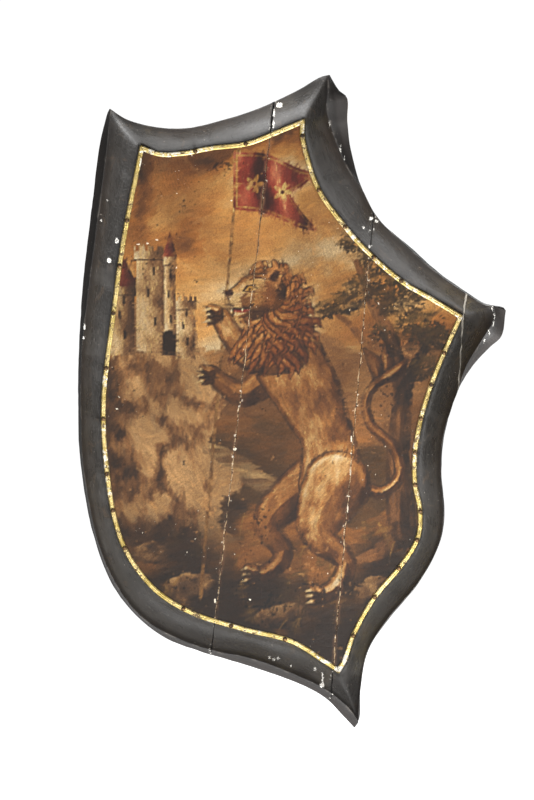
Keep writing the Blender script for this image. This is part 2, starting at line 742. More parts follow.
@dataclass(frozen=True)
class OldPainting:
    """The painted field: the colours kept on its points, with brush marks, crackle and old varnish."""

    workshop: Workshop
    flakes: tuple[Flake, ...] = (
        Flake(-133, 49, 2.0, 0.8), Flake(-123, 50, 1.4, 0.8), Flake(-113, 54, 1.9, 0.8),
        Flake(-156, -128, 1.3, 1.0), Flake(-50.5, -334, 0.9, 2.6), Flake(-13, -333, 1.4, 1.0),
        Flake(-29, -171, 1.8, 1.6), Flake(96, -160, 0.8, 3.6), Flake(95, -196, 0.8, 4.0),
        Flake(92, -235, 0.8, 5.0), Flake(-33, 96, 1.0, 1.0), Flake(-92, 24, 0.9, 0.9),
    )

    def make(self) -> Material:
        """Build the material."""
        finish = Finish("old painting")
        place = finish.place
        paint = place.kept("paint", "Color")
        crackle = place.stretched(1, 0.2, 1).cells(420).spread(0.0, 0.05)
        colour = crackle.between(paint.tinted((0.62, 0.55, 0.45)), paint)
        colour = colour.tinted(place.noise(520, 4, 0.65).spread(0.3, 0.7, 0.84, 1.14))
        for turn, long, wide, size in ((0.35, 90, 900, 9), (-0.9, 110, 760, 14)):
            stroke = place.turned(0, turn, 0).stretched(wide, 1, long).noise(1.0, 3, 0.6, 0.8)
            tone = stroke.spread(0.3, 0.7, 0.84, 1.18) - 1.0
            colour = colour.tinted(tone * place.noise(size, 2).spread(0.42, 0.6) + 1.0)
        fibres = place.stretched(620, 1, 26).noise(1.0, 4, 0.6, 0.4).spread(0.66, 0.72)
        fibres = fibres * place.noise(16, 3).spread(0.48, 0.6)
        bent = (place.stretched(0, 0, 1).noise(33, 3, 0.6) - 0.5) * 0.006
        joints = self.workshop.joints(place.shifted("ADD", place.made("CombineXYZ", i0=bent)), 0.0004)
        crack, beside = (joints[0][output] | joints[1][output] for output in (0, 1))
        upper = place.axes()[2].spread(-0.02, 0.08)
        worn_edge = place.noise(90, 4, 0.7).spread(0.45, 0.6, 0.0, 0.3) * upper.spread(0, 1, 1.0, 2.2)
        filling = place.stretched(20, 1, 150).noise(1.0, 4, 0.7).spread(0.44, 0.56)
        filling = filling * upper.spread(0, 1, 1.0, 0.3)
        flecks = place.noise(300, 2).spread(0.745, 0.765) * place.noise(11, 2).spread(0.48, 0.56)
        specks = beside * place.noise(260, 4, 0.6).spread(0.64, 0.68)
        bare = flaked(place, self.flakes, 0.0035) | flecks | specks
        colour = colour.painted(
            (fibres * 0.7, (0.06, 0.03, 0.018)), (beside * worn_edge, (0.20, 0.09, 0.04)),
            (crack, filling.between((0.030, 0.016, 0.010), (0.50, 0.35, 0.20))),
            (bare * 0.9, (0.72, 0.64, 0.5)),
        )
        rough = place.through(self.workshop.wear, Stain_size=40.0)["Stains"].spread(0.3, 0.7, 0.42, 0.56)
        height = place.kept("relief", "Fac") + place.noise(900, 3, 0.6) * 0.25 + crackle * 0.3
        return finish.coated(colour, rough, height, 0.4, 0.0004, Specular_IOR_Level=0.3)


@dataclass(frozen=True)
class WaterGilding:
    """Gold leaf over a dark ground, rubbed through in places and grimy in its hollows."""

    workshop: Workshop
    middle: float = 9.0
    flakes: tuple[Flake, ...] = (
        Flake(84, -407, 7, 3.4), Flake(89, -397, 2.6, 7), Flake(70, -400, 7, 1.6), Flake(-128, 148, 4, 1.4),
        Flake(-130, 132, 1.6, 10.0), Flake(-45, 148, 3.0, 1.0), Flake(116, 58, 2, 2),
        Flake(-95, 147, 8, 1.2),
    )

    def make(self) -> Material:
        """Build the material."""
        finish = Finish("gilding")
        place = finish.place
        off_middle = abs(place.kept("lay", "Vector").axes()[1] - self.middle)
        groove = off_middle.spread(1.3, 0.2, 0.0, 0.6) * place.noise(14, 2).spread(0.47, 0.56)
        grime = (groove | off_middle.spread(6.0, 7.8)) * place.noise(160, 4, 0.6).spread(0.38, 0.6)
        lost = place.noise(140, 6, 0.72).spread(0.54, 0.60) | place.noise(900, 3, 0.6).spread(0.66, 0.72)
        gone = lost | grime * 0.85
        rubs = place.noise(18, 3).spread(0.52, 0.6) * place.noise(210, 5, 0.7).spread(0.52, 0.6)
        white = flaked(place, self.flakes, 0.006) | rubs
        stains = place.through(self.workshop.wear, Stain_size=70.0, Rub=0.4)["Stains"].spread(0.32, 0.68)
        leaf = stains.between((0.50, 0.37, 0.11), (0.84, 0.66, 0.30))
        colour = leaf.painted((gone, (0.13, 0.085, 0.035)), (white, (0.74, 0.69, 0.58)))
        rough = place.noise(300).spread(0.3, 0.7, 0.24, 0.5) | gone * 0.7
        height = place.noise(520, 5, 0.65) + place.noise(130, 3) - lost * 0.5
        return finish.coated(colour, rough, height, 0.7, 0.0006, Metallic=1.0 - (gone | white) * 0.9)


@dataclass(frozen=True)
class AgedMetal:
    """Forged iron or dull brass, with darker rust or grime in patches."""

    name: str
    bright: Rgb
    dull: Rgb
    spots: float = 120.0

    def make(self) -> Material:
        """Build the material."""
        finish = Finish(self.name)
        patches = finish.place.noise(self.spots, 6, 0.65).spread(0.4, 0.62)
        colour, rough = patches.between(self.bright, self.dull), patches.spread(0, 1, 0.38, 0.75)
        height = finish.place.noise(500, 5, 0.6)
        return finish.coated(colour, rough, height, 0.6, 0.0004, Metallic=1.0 - patches * 0.6)


@dataclass(frozen=True)
class Leather:
    """Vegetable-tanned leather with a pebbled grain, darkened and cracked by age."""

    workshop: Workshop
    name: str
    dark: Rgb
    light: Rgb

    def make(self) -> Material:
        """Build the material."""
        finish = Finish(self.name)
        marks = finish.place.through(self.workshop.wear, Stain_size=45.0, Rub=0.45)
        creases = finish.place.noise(160, 5, 0.6, 0.8)
        polished = tuple(min(1, channel * 1.9) for channel in self.light)
        colour = marks["Stains"].spread(0.3, 0.7).between(self.dark, self.light)
        colour = colour.painted((marks["Rubbed"] * 0.4, polished))
        height = finish.place.cells(850, "SMOOTH_F1") + creases * 0.8
        return finish.coated(colour, creases.spread(0.3, 0.7, 0.48, 0.7), height, 0.55, 0.0005)


def joints_of(board: int) -> list[tuple[int, int]]:
    """A board's joints: the number of each, and 1 where the board lies to its right or -1 to its left."""
    beside = ((board - 1, 1), (board, -1))
    return [(number, way) for number, way in beside if 0 <= number < len(BOARD_JOINTS)]


def cut_at_joint(form: Form, number: int, way: int, gap: float) -> list:
    """Cut off what lies past a joint.

    Args:
        form: The form, changed in place.
        number: The joint's number.
        way: 1 where the right side stays, -1 where the left does.
        gap: How far from the joint's middle the cut stands back.

    Returns:
        The edges of the cut.
    """
    joint = BOARD_JOINTS[number]
    for vert in form.verts:
        vert.co.x -= joint.x + joint.lean * vert.co.z
    cut = bmesh.ops.bisect_plane(
        form, geom=form.verts[:] + form.edges[:] + form.faces[:], dist=CUT_WITHIN, clear_inner=way > 0,
        clear_outer=way < 0, plane_co=(way * gap, 0, 0), plane_no=(1, 0, 0),
    )
    for vert in form.verts:
        vert.co.x += joint.x + joint.lean * vert.co.z
    return [item for item in cut["geom_cut"] if isinstance(item, bmesh.types.BMEdge)]


@dataclass
class RimmedBoards:
    """The four boards with their carved rim: a hollow that sweeps forward to a crest, then a square edge.

    What has one value for each side or corner is in the order of the sides.
    """

    lacquer: Material
    bare_wood: Material
    corner_rises: tuple[float, ...] = (0.024, 0.036, 0.032, 0.034)
    side_rises: tuple[float, ...] = (0.021, 0.024, 0.019, 0.021)
    steps: tuple[int, ...] = (66, 84, 126, 192)
    corner_smoothing: tuple[tuple[int, int], ...] = ((12, 30), (5, 6), (10, 20), (10, 20))
    edge_thickness: float = 0.020
    edge_depth_least: float = 0.006
    ledge: float = 0.003
    cove_curve: float = 1.8
    tooling: float = 0.0010
    carving: float = 0.0005
    nick: float = 0.0006
    crest_bevel: float = 0.0011
    back_bevel: float = 0.0014
    joint_gap: float = -0.00001
    joint_opening: float = 0.0002
    gaping: float = 4.5
    gaping_height: float = 0.15

    def loop(self, shares: dict[Side, list]) -> Array:
        """A whole outline, x and z of each step."""
        run = [np.arange(steps) / steps for steps in self.steps]
        return np.vstack([curve_at(side_points(shares, side), along) for side, along in zip(SIDES, run)])

    def rises(self) -> Array:
        """The rim's rise at each step: least along the sides and most at the corners."""
        rises = []
        ends = zip(self.corner_rises, np.roll(self.corner_rises, -1), self.side_rises, self.steps)
        for start, end, least, steps in ends:
            share = np.arange(steps) / steps
            rises.append(least + (start - least) * (1 - share) ** 4 + (end - least) * share ** 4)
        return np.concatenate(rises)

    def rings(self) -> Array:
        """All rows of the boards' skin, from the middle of the front round to the middle of the back."""
        inner, crest, back = (self.loop(shares) for shares in (FIELD_SHARES, CREST_SHARES, BACK_EDGE_SHARES))
        outwards = crest - inner
        nicks = (self.nick * cloudy(*crest.T * 75, 9) / np.linalg.norm(outwards, axis=1))[:, None]
        crest, back = crest + outwards * nicks, back + outwards * np.roll(nicks, 3, axis=0)
        ledge = inner + unit(outwards) * self.ledge
        ledge_front = board_front(*ledge.T)
        rises = self.rises()
        middle = np.array([0, ARM_LINE_Z])

        def at(points: Array, forward: Array) -> Array:
            """Points of an outline at a depth."""
            return np.column_stack([points[:, 0], -forward, points[:, 1]])

        def on_field(share: float, offset: float) -> Array:
            """A row inside the field."""
            spots = middle + (inner - middle) * share
            return at(spots, board_front(*spots.T) + offset)

        seen = np.minimum(np.linalg.norm(crest - back, axis=1), self.edge_thickness)
        depths = np.maximum(np.sqrt(self.edge_thickness ** 2 - seen ** 2), self.edge_depth_least)
        crest_front = ledge_front + rises
        carved = self.carving * cloudy(*crest.T * 45, 3)
        rows = [on_field(share, 0) for share in np.linspace(0, 1, FIELD_ROWS)]
        for share in np.linspace(0, 1, COVE_ROWS):
            spots = ledge + (crest - ledge) * share
            tooled = self.tooling * cloudy(*spots.T * 30, 5, 3) * math.sin(math.pi * share)
            rows.append(at(spots, ledge_front + rises * share ** self.cove_curve + carved * share + tooled))
        for share in (0.33, 0.67, 1):
            rows.append(at(crest + (back - crest) * share, crest_front - depths * share))
        inside, outside = ledge_front - BOARD_THICKNESS, crest_front - depths
        for share in np.linspace(0.92, 0, 10):
            depth = inside + (outside - inside) * share ** self.cove_curve
            rows.append(at(ledge + (back - ledge) * share, depth))
        return np.array(rows + [on_field(share, -BOARD_THICKNESS) for share in (1, 0.8, 0.6, 0.4, 0.2, 0)])

    def body(self) -> Form:
        """The whole blank, its crest and back edge rounded and its back faces marked as bare wood."""
        form = lofted(self.rings())
        lay = form.verts.layers.float_vector["lay"]
        for face in form.faces:
            face.material_index = int(min(vert[lay].x for vert in face.verts) >= BACK_ROW)
        self.soften_corners(form)
        for row, offset in ((CREST_ROW, self.crest_bevel), (BACK_ROW, self.back_bevel)):
            edges = [edge for edge in form.edges if all(round(vert[lay].x) == row for vert in edge.verts)]
            bmesh.ops.bevel(
                form, geom=edges, offset=offset, offset_type="OFFSET", segments=3, profile=0.5, material=-1,
                affect="EDGES", clamp_overlap=True,
            )
        return form

    def soften_corners(self, form: Form) -> None:
        """Round the hollow where two sides meet, away from its foot and its crest.

        Args:
            form: The blank.
        """
        lay = form.verts.layers.float_vector["lay"]
        count = sum(self.steps)
        starts = np.cumsum([0, *self.steps[:-1]])
        for start, (reach, times) in zip(starts, self.corner_smoothing):
            near = [
                vert for vert in form.verts if FIELD_ROWS + 1 < vert[lay].x < CREST_ROW
                and min((vert[lay].y - start) % count, (start - vert[lay].y) % count) < reach
            ]
            for _ in range(times):
                bmesh.ops.smooth_vert(
                    form, verts=near, factor=0.5, use_axis_x=True, use_axis_y=True, use_axis_z=True,
                )

    def open_joint(self, form: Form, edges: list, number: int, way: int) -> None:
        """Open a joint a little at the front of the rim, wider at the top, where the boards have shrunk.

        Args:
            form: One board.
            edges: The edges of its cut.
            number: The joint's number.
            way: 1 at a board's left side, -1 at its right side.
        """
        lay = form.verts.layers.float_vector["lay"]
        for vert in {vert for edge in edges for vert in edge.verts}:
            if FIELD_ROWS + 1 < vert[lay].x < FIELD_ROWS + 1 + COVE_ROWS:
                wide = self.gaping if number == 0 and vert.co.z > self.gaping_height else 1
                vert.co.x += way * self.joint_opening * wide

    def build(self) -> None:
        """Saw the blank into its boards."""
        blank = self.body()
        for board in range(len(BOARD_JOINTS) + 1):
            form = blank.copy()
            for number, way in joints_of(board):
                edges = cut_at_joint(form, number, way, self.joint_gap)
                self.open_joint(form, edges, number, way)
                bmesh.ops.triangle_fill(form, use_beauty=True, edges=edges)
            bmesh.ops.recalc_face_normals(form, faces=form.faces[:])
            name = f"plank_{board + 1}"
            settled(finished(f"carved_{name}", form, [self.lacquer, self.bare_wood], 40), "black_rim", name)
        blank.free()


def inside_outline(x: Array, z: Array, outline: Array) -> Array:
    """Find which points lie inside a closed outline.

    Args:
        x: The points' places across.
        z: Their heights.
        outline: The outline's points, one a row.

    Returns:
        True for each point inside.
    """
    inside = np.zeros(np.shape(x), bool)
    for (x0, z0), (x1, z1) in zip(outline, np.roll(outline, -1, axis=0)):
        if z0 != z1:
            crosses = (z > min(z0, z1)) & (z <= max(z0, z1))
            inside ^= crosses & (x < x0 + (z - z0) * (x1 - x0) / (z1 - z0))
    return inside


@dataclass
class PaintedFacing:
    """The gesso and paint over the boards, in pieces where the joints have opened."""

    painting: Material
    boards: RimmedBoards
    picture: "FieldPainting"
    thickness: float = 0.0012
    overlap: float = 0.0022
    cell: float = 0.00118

    def front(self) -> Form:
        """The facing's front as an even grid, trimmed a little beyond the field's outline."""
        inner, crest = (self.boards.loop(shares) for shares in (FIELD_SHARES, CREST_SHARES))
        hem = inner + unit(crest - inner) * self.overlap
        low, high = hem.min(axis=0), hem.max(axis=0)
        columns, rows = (math.ceil(reach / self.cell) for reach in high - low)
        form = bmesh.new()
        size = Matrix.Diagonal((columns * self.cell, rows * self.cell, 1, 1))
        upright = Matrix.Rotation(math.pi / 2, 4, "X") @ size
        bmesh.ops.create_grid(form, x_segments=columns, y_segments=rows, size=0.5, matrix=upright)
        across, up = (low + high) / 2
        moved(form, (across, 0, up))
        places = np.array([vert.co for vert in form.verts])
        inside = inside_outline(places[:, 0], places[:, 2], hem)
        outside = [vert for vert, kept in zip(form.verts, inside) if not kept]
        bmesh.ops.delete(form, geom=outside, context="VERTS")
        return form

    def build(self) -> None:
        """Cut the facing at the joints, thicken each piece and paint it."""
        sheet = self.front()
        for board in range(len(BOARD_JOINTS) + 1):
            form = sheet.copy()
            for number, way in joints_of(board):
                cut_at_joint(form, number, way, FIT_GAP / 2)
            if form.faces:
                self.thicken(form)
                piece = finished(f"painted_facing_{board + 1}", form, [self.painting])
                self.colour(piece.data)
                settled(piece, "painted_field", "painted_facing")
        sheet.free()

    def thicken(self, form: Form) -> None:
        """Lay a piece of the facing on the boards and close it behind.

        Args:
            form: The piece's front.
        """
        self.seat(form.verts, self.thickness)
        edges = [edge for edge in form.edges if edge.is_boundary]
        sides = bmesh.ops.extrude_edge_only(form, edges=edges)["geom"]
        self.seat([item for item in sides if isinstance(item, bmesh.types.BMVert)], 0)
        bmesh.ops.holes_fill(form, edges=[edge for edge in form.edges if edge.is_boundary], sides=0)
        bmesh.ops.recalc_face_normals(form, faces=form.faces[:])

    def seat(self, verts: Iterable[bmesh.types.BMVert], offset: float) -> None:
        """Set points to their depth on the boards."""
        for vert in verts:
            vert.co.y = -(board_front(vert.co.x, vert.co.z) + FIT_GAP + offset)

    def colour(self, mesh: bpy.types.Mesh) -> None:
        """Keep the painting's colours and relief on the piece's points.

        Args:
            mesh: The piece's mesh.
        """
        places = np.zeros(len(mesh.vertices) * 3, np.float32)
        mesh.vertices.foreach_get("co", places)
        colours, relief = self.picture.at(*places.reshape(-1, 3)[:, ::2].T.astype(float))
        paint = np.column_stack([colours, np.ones(len(colours))]).astype(np.float32)
        mesh.attributes.new("paint", "FLOAT_COLOR", "POINT").data.foreach_set("color", paint.ravel())
        mesh.attributes.new("relief", "FLOAT", "POINT").data.foreach_set("value", relief.astype(np.float32))


def toned(light: Array, *colours: Rgb) -> Array:
    """Colours from dark to light, by a light value from 0 to 1."""
    places = np.linspace(0, 1, len(colours))
    return np.stack([np.interp(light, places, channel) for channel in zip(*colours)], axis=-1)


def cover(distance: Array, soft: float = 1.0) -> Array:
    """How much a shape covers, by the distance to its soft edge."""
    return np.clip(0.5 - distance / soft, 0, 1)


@dataclass
class FieldPainting:
    """A generic painting: a lion with a banner, a castle on a crag, trees and a cloudy evening sky.

    Places are in millimetres from the shield's origin, x to the right and z up.
    """

    left: float = -176.0
    right: float = 217.0
    bottom: float = -412.0
    top: float = 184.0
    pixel: float = 0.85
    sky_colours: tuple[Rgb, ...] = (
        (52, 36, 26), (112, 70, 36), (182, 118, 56), (214, 158, 88), (234, 208, 160),
    )
    crimson: Rgb = (118, 40, 32)

    def __post_init__(self) -> None:
        """Lay out the canvas."""
        self.columns = int((self.right - self.left) / self.pixel)
        self.rows = int((self.top - self.bottom) / self.pixel)
        across = self.left + (np.arange(self.columns) + 0.5) * self.pixel
        up = self.bottom + (np.arange(self.rows) + 0.5) * self.pixel
        self.x, self.z = np.meshgrid(across, up)
        self.canvas = np.zeros((self.rows, self.columns, 3))
        self.relief, self.angle, self.detail = np.zeros((3, self.rows, self.columns))

    def noise(self, size: float, seed: int, octaves: int = 4, stretch: float = 1.0) -> Array:
        """Layered noise over the canvas, its largest cells of a size."""
        return cloudy(self.x / size, self.z / (size * stretch), seed, octaves)

    def lay(self, colour: object, mask: Array, angle: object = 0.0, detail: float = 1.0) -> None:
        """Paint a colour over the canvas through a mask.

        Args:
            colour: One colour, or one for each point.
            mask: How much of it covers, from 0 to 1.
            angle: The way that brush strokes run there, in radians, or None where it stays.
            detail: How fine the brush is there, from 0 to 1.
        """
        share = np.clip(mask, 0, 1)[..., None]
        self.canvas[:] = self.canvas * (1 - share) + np.asarray(colour, float) * share
        if angle is not None:
            self.angle[:] = np.where(mask > 0.5, angle, self.angle)
        self.detail[:] = np.where(mask > 0.5, detail, self.detail)

    def near(self, points: Sequence[tuple], margin: float) -> "FieldPainting":
        """Take the part of the canvas round some points, which is painted as the whole is.

        Args:
            points: The points.
            margin: How far round them it reaches.

        Returns:
            The part.
        """
        spots = np.array([point[:2] for point in points], float) - (self.left, self.bottom)
        left, low = np.maximum(((spots.min(axis=0) - margin) / self.pixel).astype(int), 0)
        right, high = ((spots.max(axis=0) + margin) / self.pixel).astype(int) + 1
        window = (slice(low, max(high, low + 1)), slice(left, max(right, left + 1)))
        part = copy.copy(self)
        for name in ("x", "z", "canvas", "relief", "angle", "detail"):
            setattr(part, name, getattr(self, name)[window])
        return part

    def limb(self, points: Sequence[Sequence[float]]) -> tuple[Array, Array]:
        """Measure the distance to a rounded limb through points of x, z and radius.

        Args:
            points: The points.

        Returns:
            The distance to its surface, negative inside, and the way that it runs.
        """
        nearest, way = np.full(self.x.shape, 1e9), np.zeros(self.x.shape)
        for start, end in zip(points, points[1:]):
            across, up, growth = np.subtract(end, start)
            right, above = self.x - start[0], self.z - start[1]
            share = np.clip((right * across + above * up) / (across ** 2 + up ** 2), 0, 1)
            gap = np.hypot(right - share * across, above - share * up) - start[2] - growth * share
            way = np.where(gap < nearest, math.atan2(up, across), way)
            nearest = np.minimum(gap, nearest)
        return nearest, way

    def box(self, x: float, z: float, wide: float, high: float) -> Array:
        """The distance to an upright box round a place, by its half sizes."""
        return np.maximum(np.abs(self.x - x) - wide, np.abs(self.z - z) - high)

    def sky(self) -> None:
        """Amber evening clouds, brightest behind the banner."""
        billow = np.abs(self.noise(95, 101, 5)) * 2.2
        drift = self.noise(150, 107, 4, 0.45)
        glow = np.exp(-(((self.x - 60) / 120) ** 2 + ((self.z - 10) / 110) ** 2))
        rays = np.sin(np.arctan2(self.z - 210, self.x - 40) * 26 + 3 * drift)
        light = 0.42 + 0.5 * glow - 0.62 * np.maximum(0, 0.5 - billow) + 0.75 * drift
        light += 0.10 * (self.z < -60) + 0.05 * rays * np.clip((self.z + 20) / 150, 0, 1)
        self.canvas[:] = toned(light, *self.sky_colours)
        self.angle[:] = self.noise(120, 113, 3) + 0.3
        rim = np.clip((billow - 0.42) * 5, 0, 1) * np.clip(1.2 - (billow - 0.42) * 7, 0, 1)
        rim = 0.45 * rim * np.clip(self.z / 60 + 0.6, 0, 1)
        self.lay(toned(light + 0.35, self.sky_colours[2], self.sky_colours[4]), rim, None, 0)

    def hills(self) -> None:
        """Hazy hills, a river and the dark ground in front."""
        for height, seed, colours in (
            (-70, 131, ((150, 104, 60), (196, 146, 88))),
            (-112, 137, ((112, 76, 42), (166, 112, 60))),
            (-160, 139, ((74, 54, 30), (128, 84, 42))),
        ):
            gap = self.z - height - 55 * cloudy(self.x / 130, self.x * 0 + seed, seed, 5)
            light = 0.5 + 1.3 * self.noise(36, seed + 1) + gap / 90
            self.lay(toned(light, *colours), cover(gap, 4), 0.12 + 0.4 * self.noise(60, seed + 2), 0.35)
        bank = np.abs(self.z + 206 + 0.22 * self.x + 14 * np.sin(self.x / 34)) - (9 + 0.06 * (60 - self.x))
        shine = toned(0.4 + 1.6 * self.noise(30, 151, 3, 0.12), (118, 88, 56), (206, 172, 118))
        self.lay(shine, cover(bank, 3) * (self.x < 70), 0.0, 0.4)
        gap = self.z + 238 - 26 * cloudy(self.x / 70, self.x * 0 + 7, 157) + 0.1 * self.x
        light = 0.36 + 1.5 * self.noise(42, 163, 5) + gap / 420
        ground = toned(light, (34, 26, 20), (58, 42, 26), (104, 70, 36), (150, 98, 48))
        self.lay(ground, cover(gap, 5), 0.2, 0.3)

    def crag(self) -> None:
        """The steep rock that the castle stands on."""
        left = -200 + 18 * cloudy(self.z / 30, self.z * 0, 171)
        right = -66 - 0.22 * (self.z + 58) + 34 * cloudy(self.z / 34, self.z * 0 + 3, 173, 5)
        top = self.z + 56 - 8 * cloudy(self.x / 20, self.x * 0, 175, 3)
        rock = np.maximum(np.maximum(left - self.x, self.x - right), top)
        faces = np.abs(self.noise(40, 177, 5, 1.3)) * 2 + 0.5 * self.noise(14, 179, 3)
        light = 0.20 + 1.25 * faces + 0.003 * (self.x + 130) + 0.0012 * (self.z + 160)
        fade = np.clip((self.z + 296) / 70, 0, 1)
        stone = toned(light, (40, 29, 21), (84, 57, 34), (140, 98, 58), (198, 156, 104))
        self.lay(stone, cover(rock, 2.5) * fade * fade * (3 - 2 * fade), 0.9 + 2 * faces, 0.45)

    def tower(self, middle: float, base: float, half: float, height: float, roof: float) -> None:
        """Paint one round tower, with battlements or a pointed roof.

        Args:
            middle: Its axis.
            base: The height of its foot.
            half: Its half width.
            height: The height of its wall.
            roof: The height of its roof, or 0 for battlements.
        """
        top = base + height
        part = self.near([(middle, base), (middle, top + roof)], half * 1.4 + 8)
        across = (part.x - middle) / half
        under_crown = np.abs(across) < 1.16
        courses = 0.07 * np.sin(part.z * 1.9) * np.sign(np.sin(part.x * 1.1 + np.floor(part.z / 3.3) * 2.6))
        light = 0.5 - 0.42 * np.clip(across, -1.2, 1.2) + courses + 0.5 * part.noise(14, 181, 3)
        stone = toned(light, (66, 46, 32), (128, 92, 58), (204, 168, 116), (238, 214, 168))
        part.lay(stone, cover(part.box(middle, base + height / 2, half, height / 2), 1.2), math.pi / 2, 0.9)
        part.lay(stone * 0.95, cover(part.box(middle, top - 4.5, half * 1.16, 4.5), 1.2), math.pi / 2, 0.95)
        part.lay((60, 42, 30), cover(np.abs(part.z - top + 9.5) - 0.8) * under_crown)
        if roof:
            eaves = half * 1.3 * (1 - (part.z - top) / roof)
            cone = np.maximum(top - part.z, np.abs(part.x - middle) - eaves)
            light = 0.4 - 0.5 * across + 0.4 * part.noise(10, 183, 3)
            part.lay(toned(light, (48, 26, 22), (112, 46, 36), (176, 96, 62)), cover(cone, 1.2), 1.2, 0.9)
        else:
            teeth = (np.mod(part.x - middle + 100 * half, half * 0.58) < half * 0.34) & under_crown
            part.lay(stone, cover(np.abs(part.z - top - 2.25) - 2.75) * teeth, math.pi / 2)
        for level, aside in ((0.3, 0.2), (0.58, -0.25), (0.8, 0.1)):
            slit = part.box(middle + aside * half, base + level * height, 1.3, 4.2)
            part.lay((30, 22, 18), cover(slit), math.pi / 2)

    def castle(self) -> None:
        """A castle with four towers and a wall."""
        corners = [(-168, -66), (-168, -14), (-74, -20), (-66, -70)]
        gap, _ = self.limb([(*corner, 0) for corner in (*corners, corners[0])])
        wall = np.where(inside_outline(self.x, self.z, np.array(corners, float)), -gap, gap)
        light = 0.42 + 0.6 * self.noise(18, 191) + 0.06 * np.sin(self.z * 1.9)
        self.lay(toned(light, (84, 60, 40), (158, 118, 76), (206, 170, 120)), cover(wall, 1.2), 0.0, 0.9)
        teeth = (np.mod(self.x + 500, 9) < 5) & (self.x > -168) & (self.x < -74)
        self.lay((176, 136, 90), cover(np.abs(self.z + 14.5 + 0.06 * (self.x + 168)) - 3) * teeth)
        for tower in (
            (-150, -70, 13, 74, 34), (-82, -74, 10, 62, 0), (-118, -66, 17, 108, 0), (-99, -60, 6, 96, 26),
        ):
            self.tower(*tower)
        gate = np.minimum(np.hypot(self.x + 100, self.z + 50) - 7, self.box(-100, -60, 7, 10))
        self.lay((28, 20, 16), cover(gate, 1.2))

    def leaves(self, clumps: Sequence[tuple[float, float, float]], seed: int, dark: Rgb, light: Rgb) -> None:
        """Paint masses of foliage leaf by leaf, lit from the upper left.

        Args:
            clumps: The x, z and radius of each mass.
            seed: What the leaves' places come from.
            dark: The colour in the shade.
            light: The colour in the light.
        """
        chance = np.random.default_rng(seed)
        for x, z, radius in clumps:
            many = radius * radius * 0.42
            for number in range(int(many)):
                turn, out = chance.uniform(0, 2 * math.pi), radius * math.sqrt(chance.uniform(0, 1))
                out *= chance.uniform(0.75, 1.12)
                facing = 0.75 * math.sin(turn) - 0.45 * math.cos(turn)
                lit = np.clip(0.35 + 0.6 * out * facing / radius + chance.normal(0, 0.16), 0, 1)
                lit *= 0.35 + 0.65 * number / many
                colour = np.array(dark) + (np.array(light, float) - dark) * lit ** 1.5
                spot = (x + out * math.cos(turn), z + out * 0.8 * math.sin(turn))
                self.dab(spot, 2.6, 1.25, chance.uniform(-1.2, 1.2) + turn, colour, 0.85)

    def dab(
        self, spot: tuple[float, float], long: float, wide: float, angle: float, colour: Array,
        hiding: float,
    ) -> None:
        """Touch the canvas with the brush once, the paint standing a little proud.

        Args:
            spot: The touch's middle.
            long: Half its length.
            wide: Half its width.
            angle: The way that it runs.
            colour: Its colour.
            hiding: How much it hides of what lies under it.
        """
        column, row = (spot[0] - self.left) / self.pixel, (spot[1] - self.bottom) / self.pixel
        span = math.ceil((max(long, wide) + self.pixel) / self.pixel)
        left, right = max(0, int(column) - span), min(self.columns, int(column) + span + 1)
        low, high = max(0, int(row) - span), min(self.rows, int(row) + span + 1)
        if left >= right or low >= high:
            return
        across = (np.arange(left, right) + 0.5 - column)[None] * self.pixel
        up = (np.arange(low, high) + 0.5 - row)[:, None] * self.pixel
        along = (across * math.cos(angle) + up * math.sin(angle)) / long
        aside = (up * math.cos(angle) - across * math.sin(angle)) / wide
        bristle = 0.82 + 0.18 * np.sin(aside * 9.0 + spot[0])
        share = np.clip(1.35 - (along ** 4 + aside ** 2) * 1.35, 0, 1) * bristle * hiding
        window = (slice(low, high), slice(left, right))
        self.canvas[window] = self.canvas[window] * (1 - share[..., None]) + colour * share[..., None]
        self.relief[window] = self.relief[window] * (1 - share) + share * bristle * (0.6 + 0.4 * along)

    def tree(self) -> None:
        """A great tree at the right, whose boughs reach over the field."""
        for points in (
            [
                (150, -262, 17), (146, -180, 12.5), (152, -110, 10.5), (140, -56, 8.5), (118, -12, 6),
                (102, 30, 3.5),
            ],
            [(150, -116, 8), (166, -78, 6), (182, -52, 3.5)],
            [(142, -66, 6), (112, -58, 4.6), (92, -34, 3.0), (76, -24, 1.8)],
            [(124, -24, 4.5), (140, 0, 3.4), (134, 28, 2)],
            [(146, -262, 13), (124, -284, 8), (98, -292, 4)], [(152, -262, 13), (176, -276, 6)],
        ):
            gap, way = self.limb(points)
            light = 0.30 + 0.9 * self.noise(7, 201, 3, 5) - 0.02 * (self.x - 145)
            light += 0.35 * np.clip(-gap / 8, 0, 1)
            bark = toned(light, (30, 22, 16), (72, 48, 28), (142, 96, 54))
            self.lay(bark, cover(gap, 1.5), way, 0.8)
        self.leaves((
            (170, -42, 27), (146, -8, 27), (176, -84, 18), (126, 34, 23), (100, 52, 17), (92, -14, 17),
            (70, -22, 12), (150, 20, 20), (112, 4, 19), (186, -52, 20), (126, -46, 13),
        ), 207, (36, 30, 18), (150, 118, 56))

    def banner(self) -> None:
        """A swallow-tailed banner on a pole, blown to the right."""
        gap, way = self.limb([(-66, -330, 1.9), (-24, 158, 1.5)])
        pole = toned(0.5 + 0.4 * self.noise(9, 211, 3), (70, 44, 24), (196, 148, 82))
        self.lay(pole, cover(gap, 1.2), way)
        tip, _ = self.limb([(-24, 156, 2.6), (-23, 164, 3.4), (-22, 176, 0.4)])
        self.lay((222, 180, 96), cover(tip, 1.2), 1.5)
        self.near([(-40, 50), (80, 160)], 10).cloth()

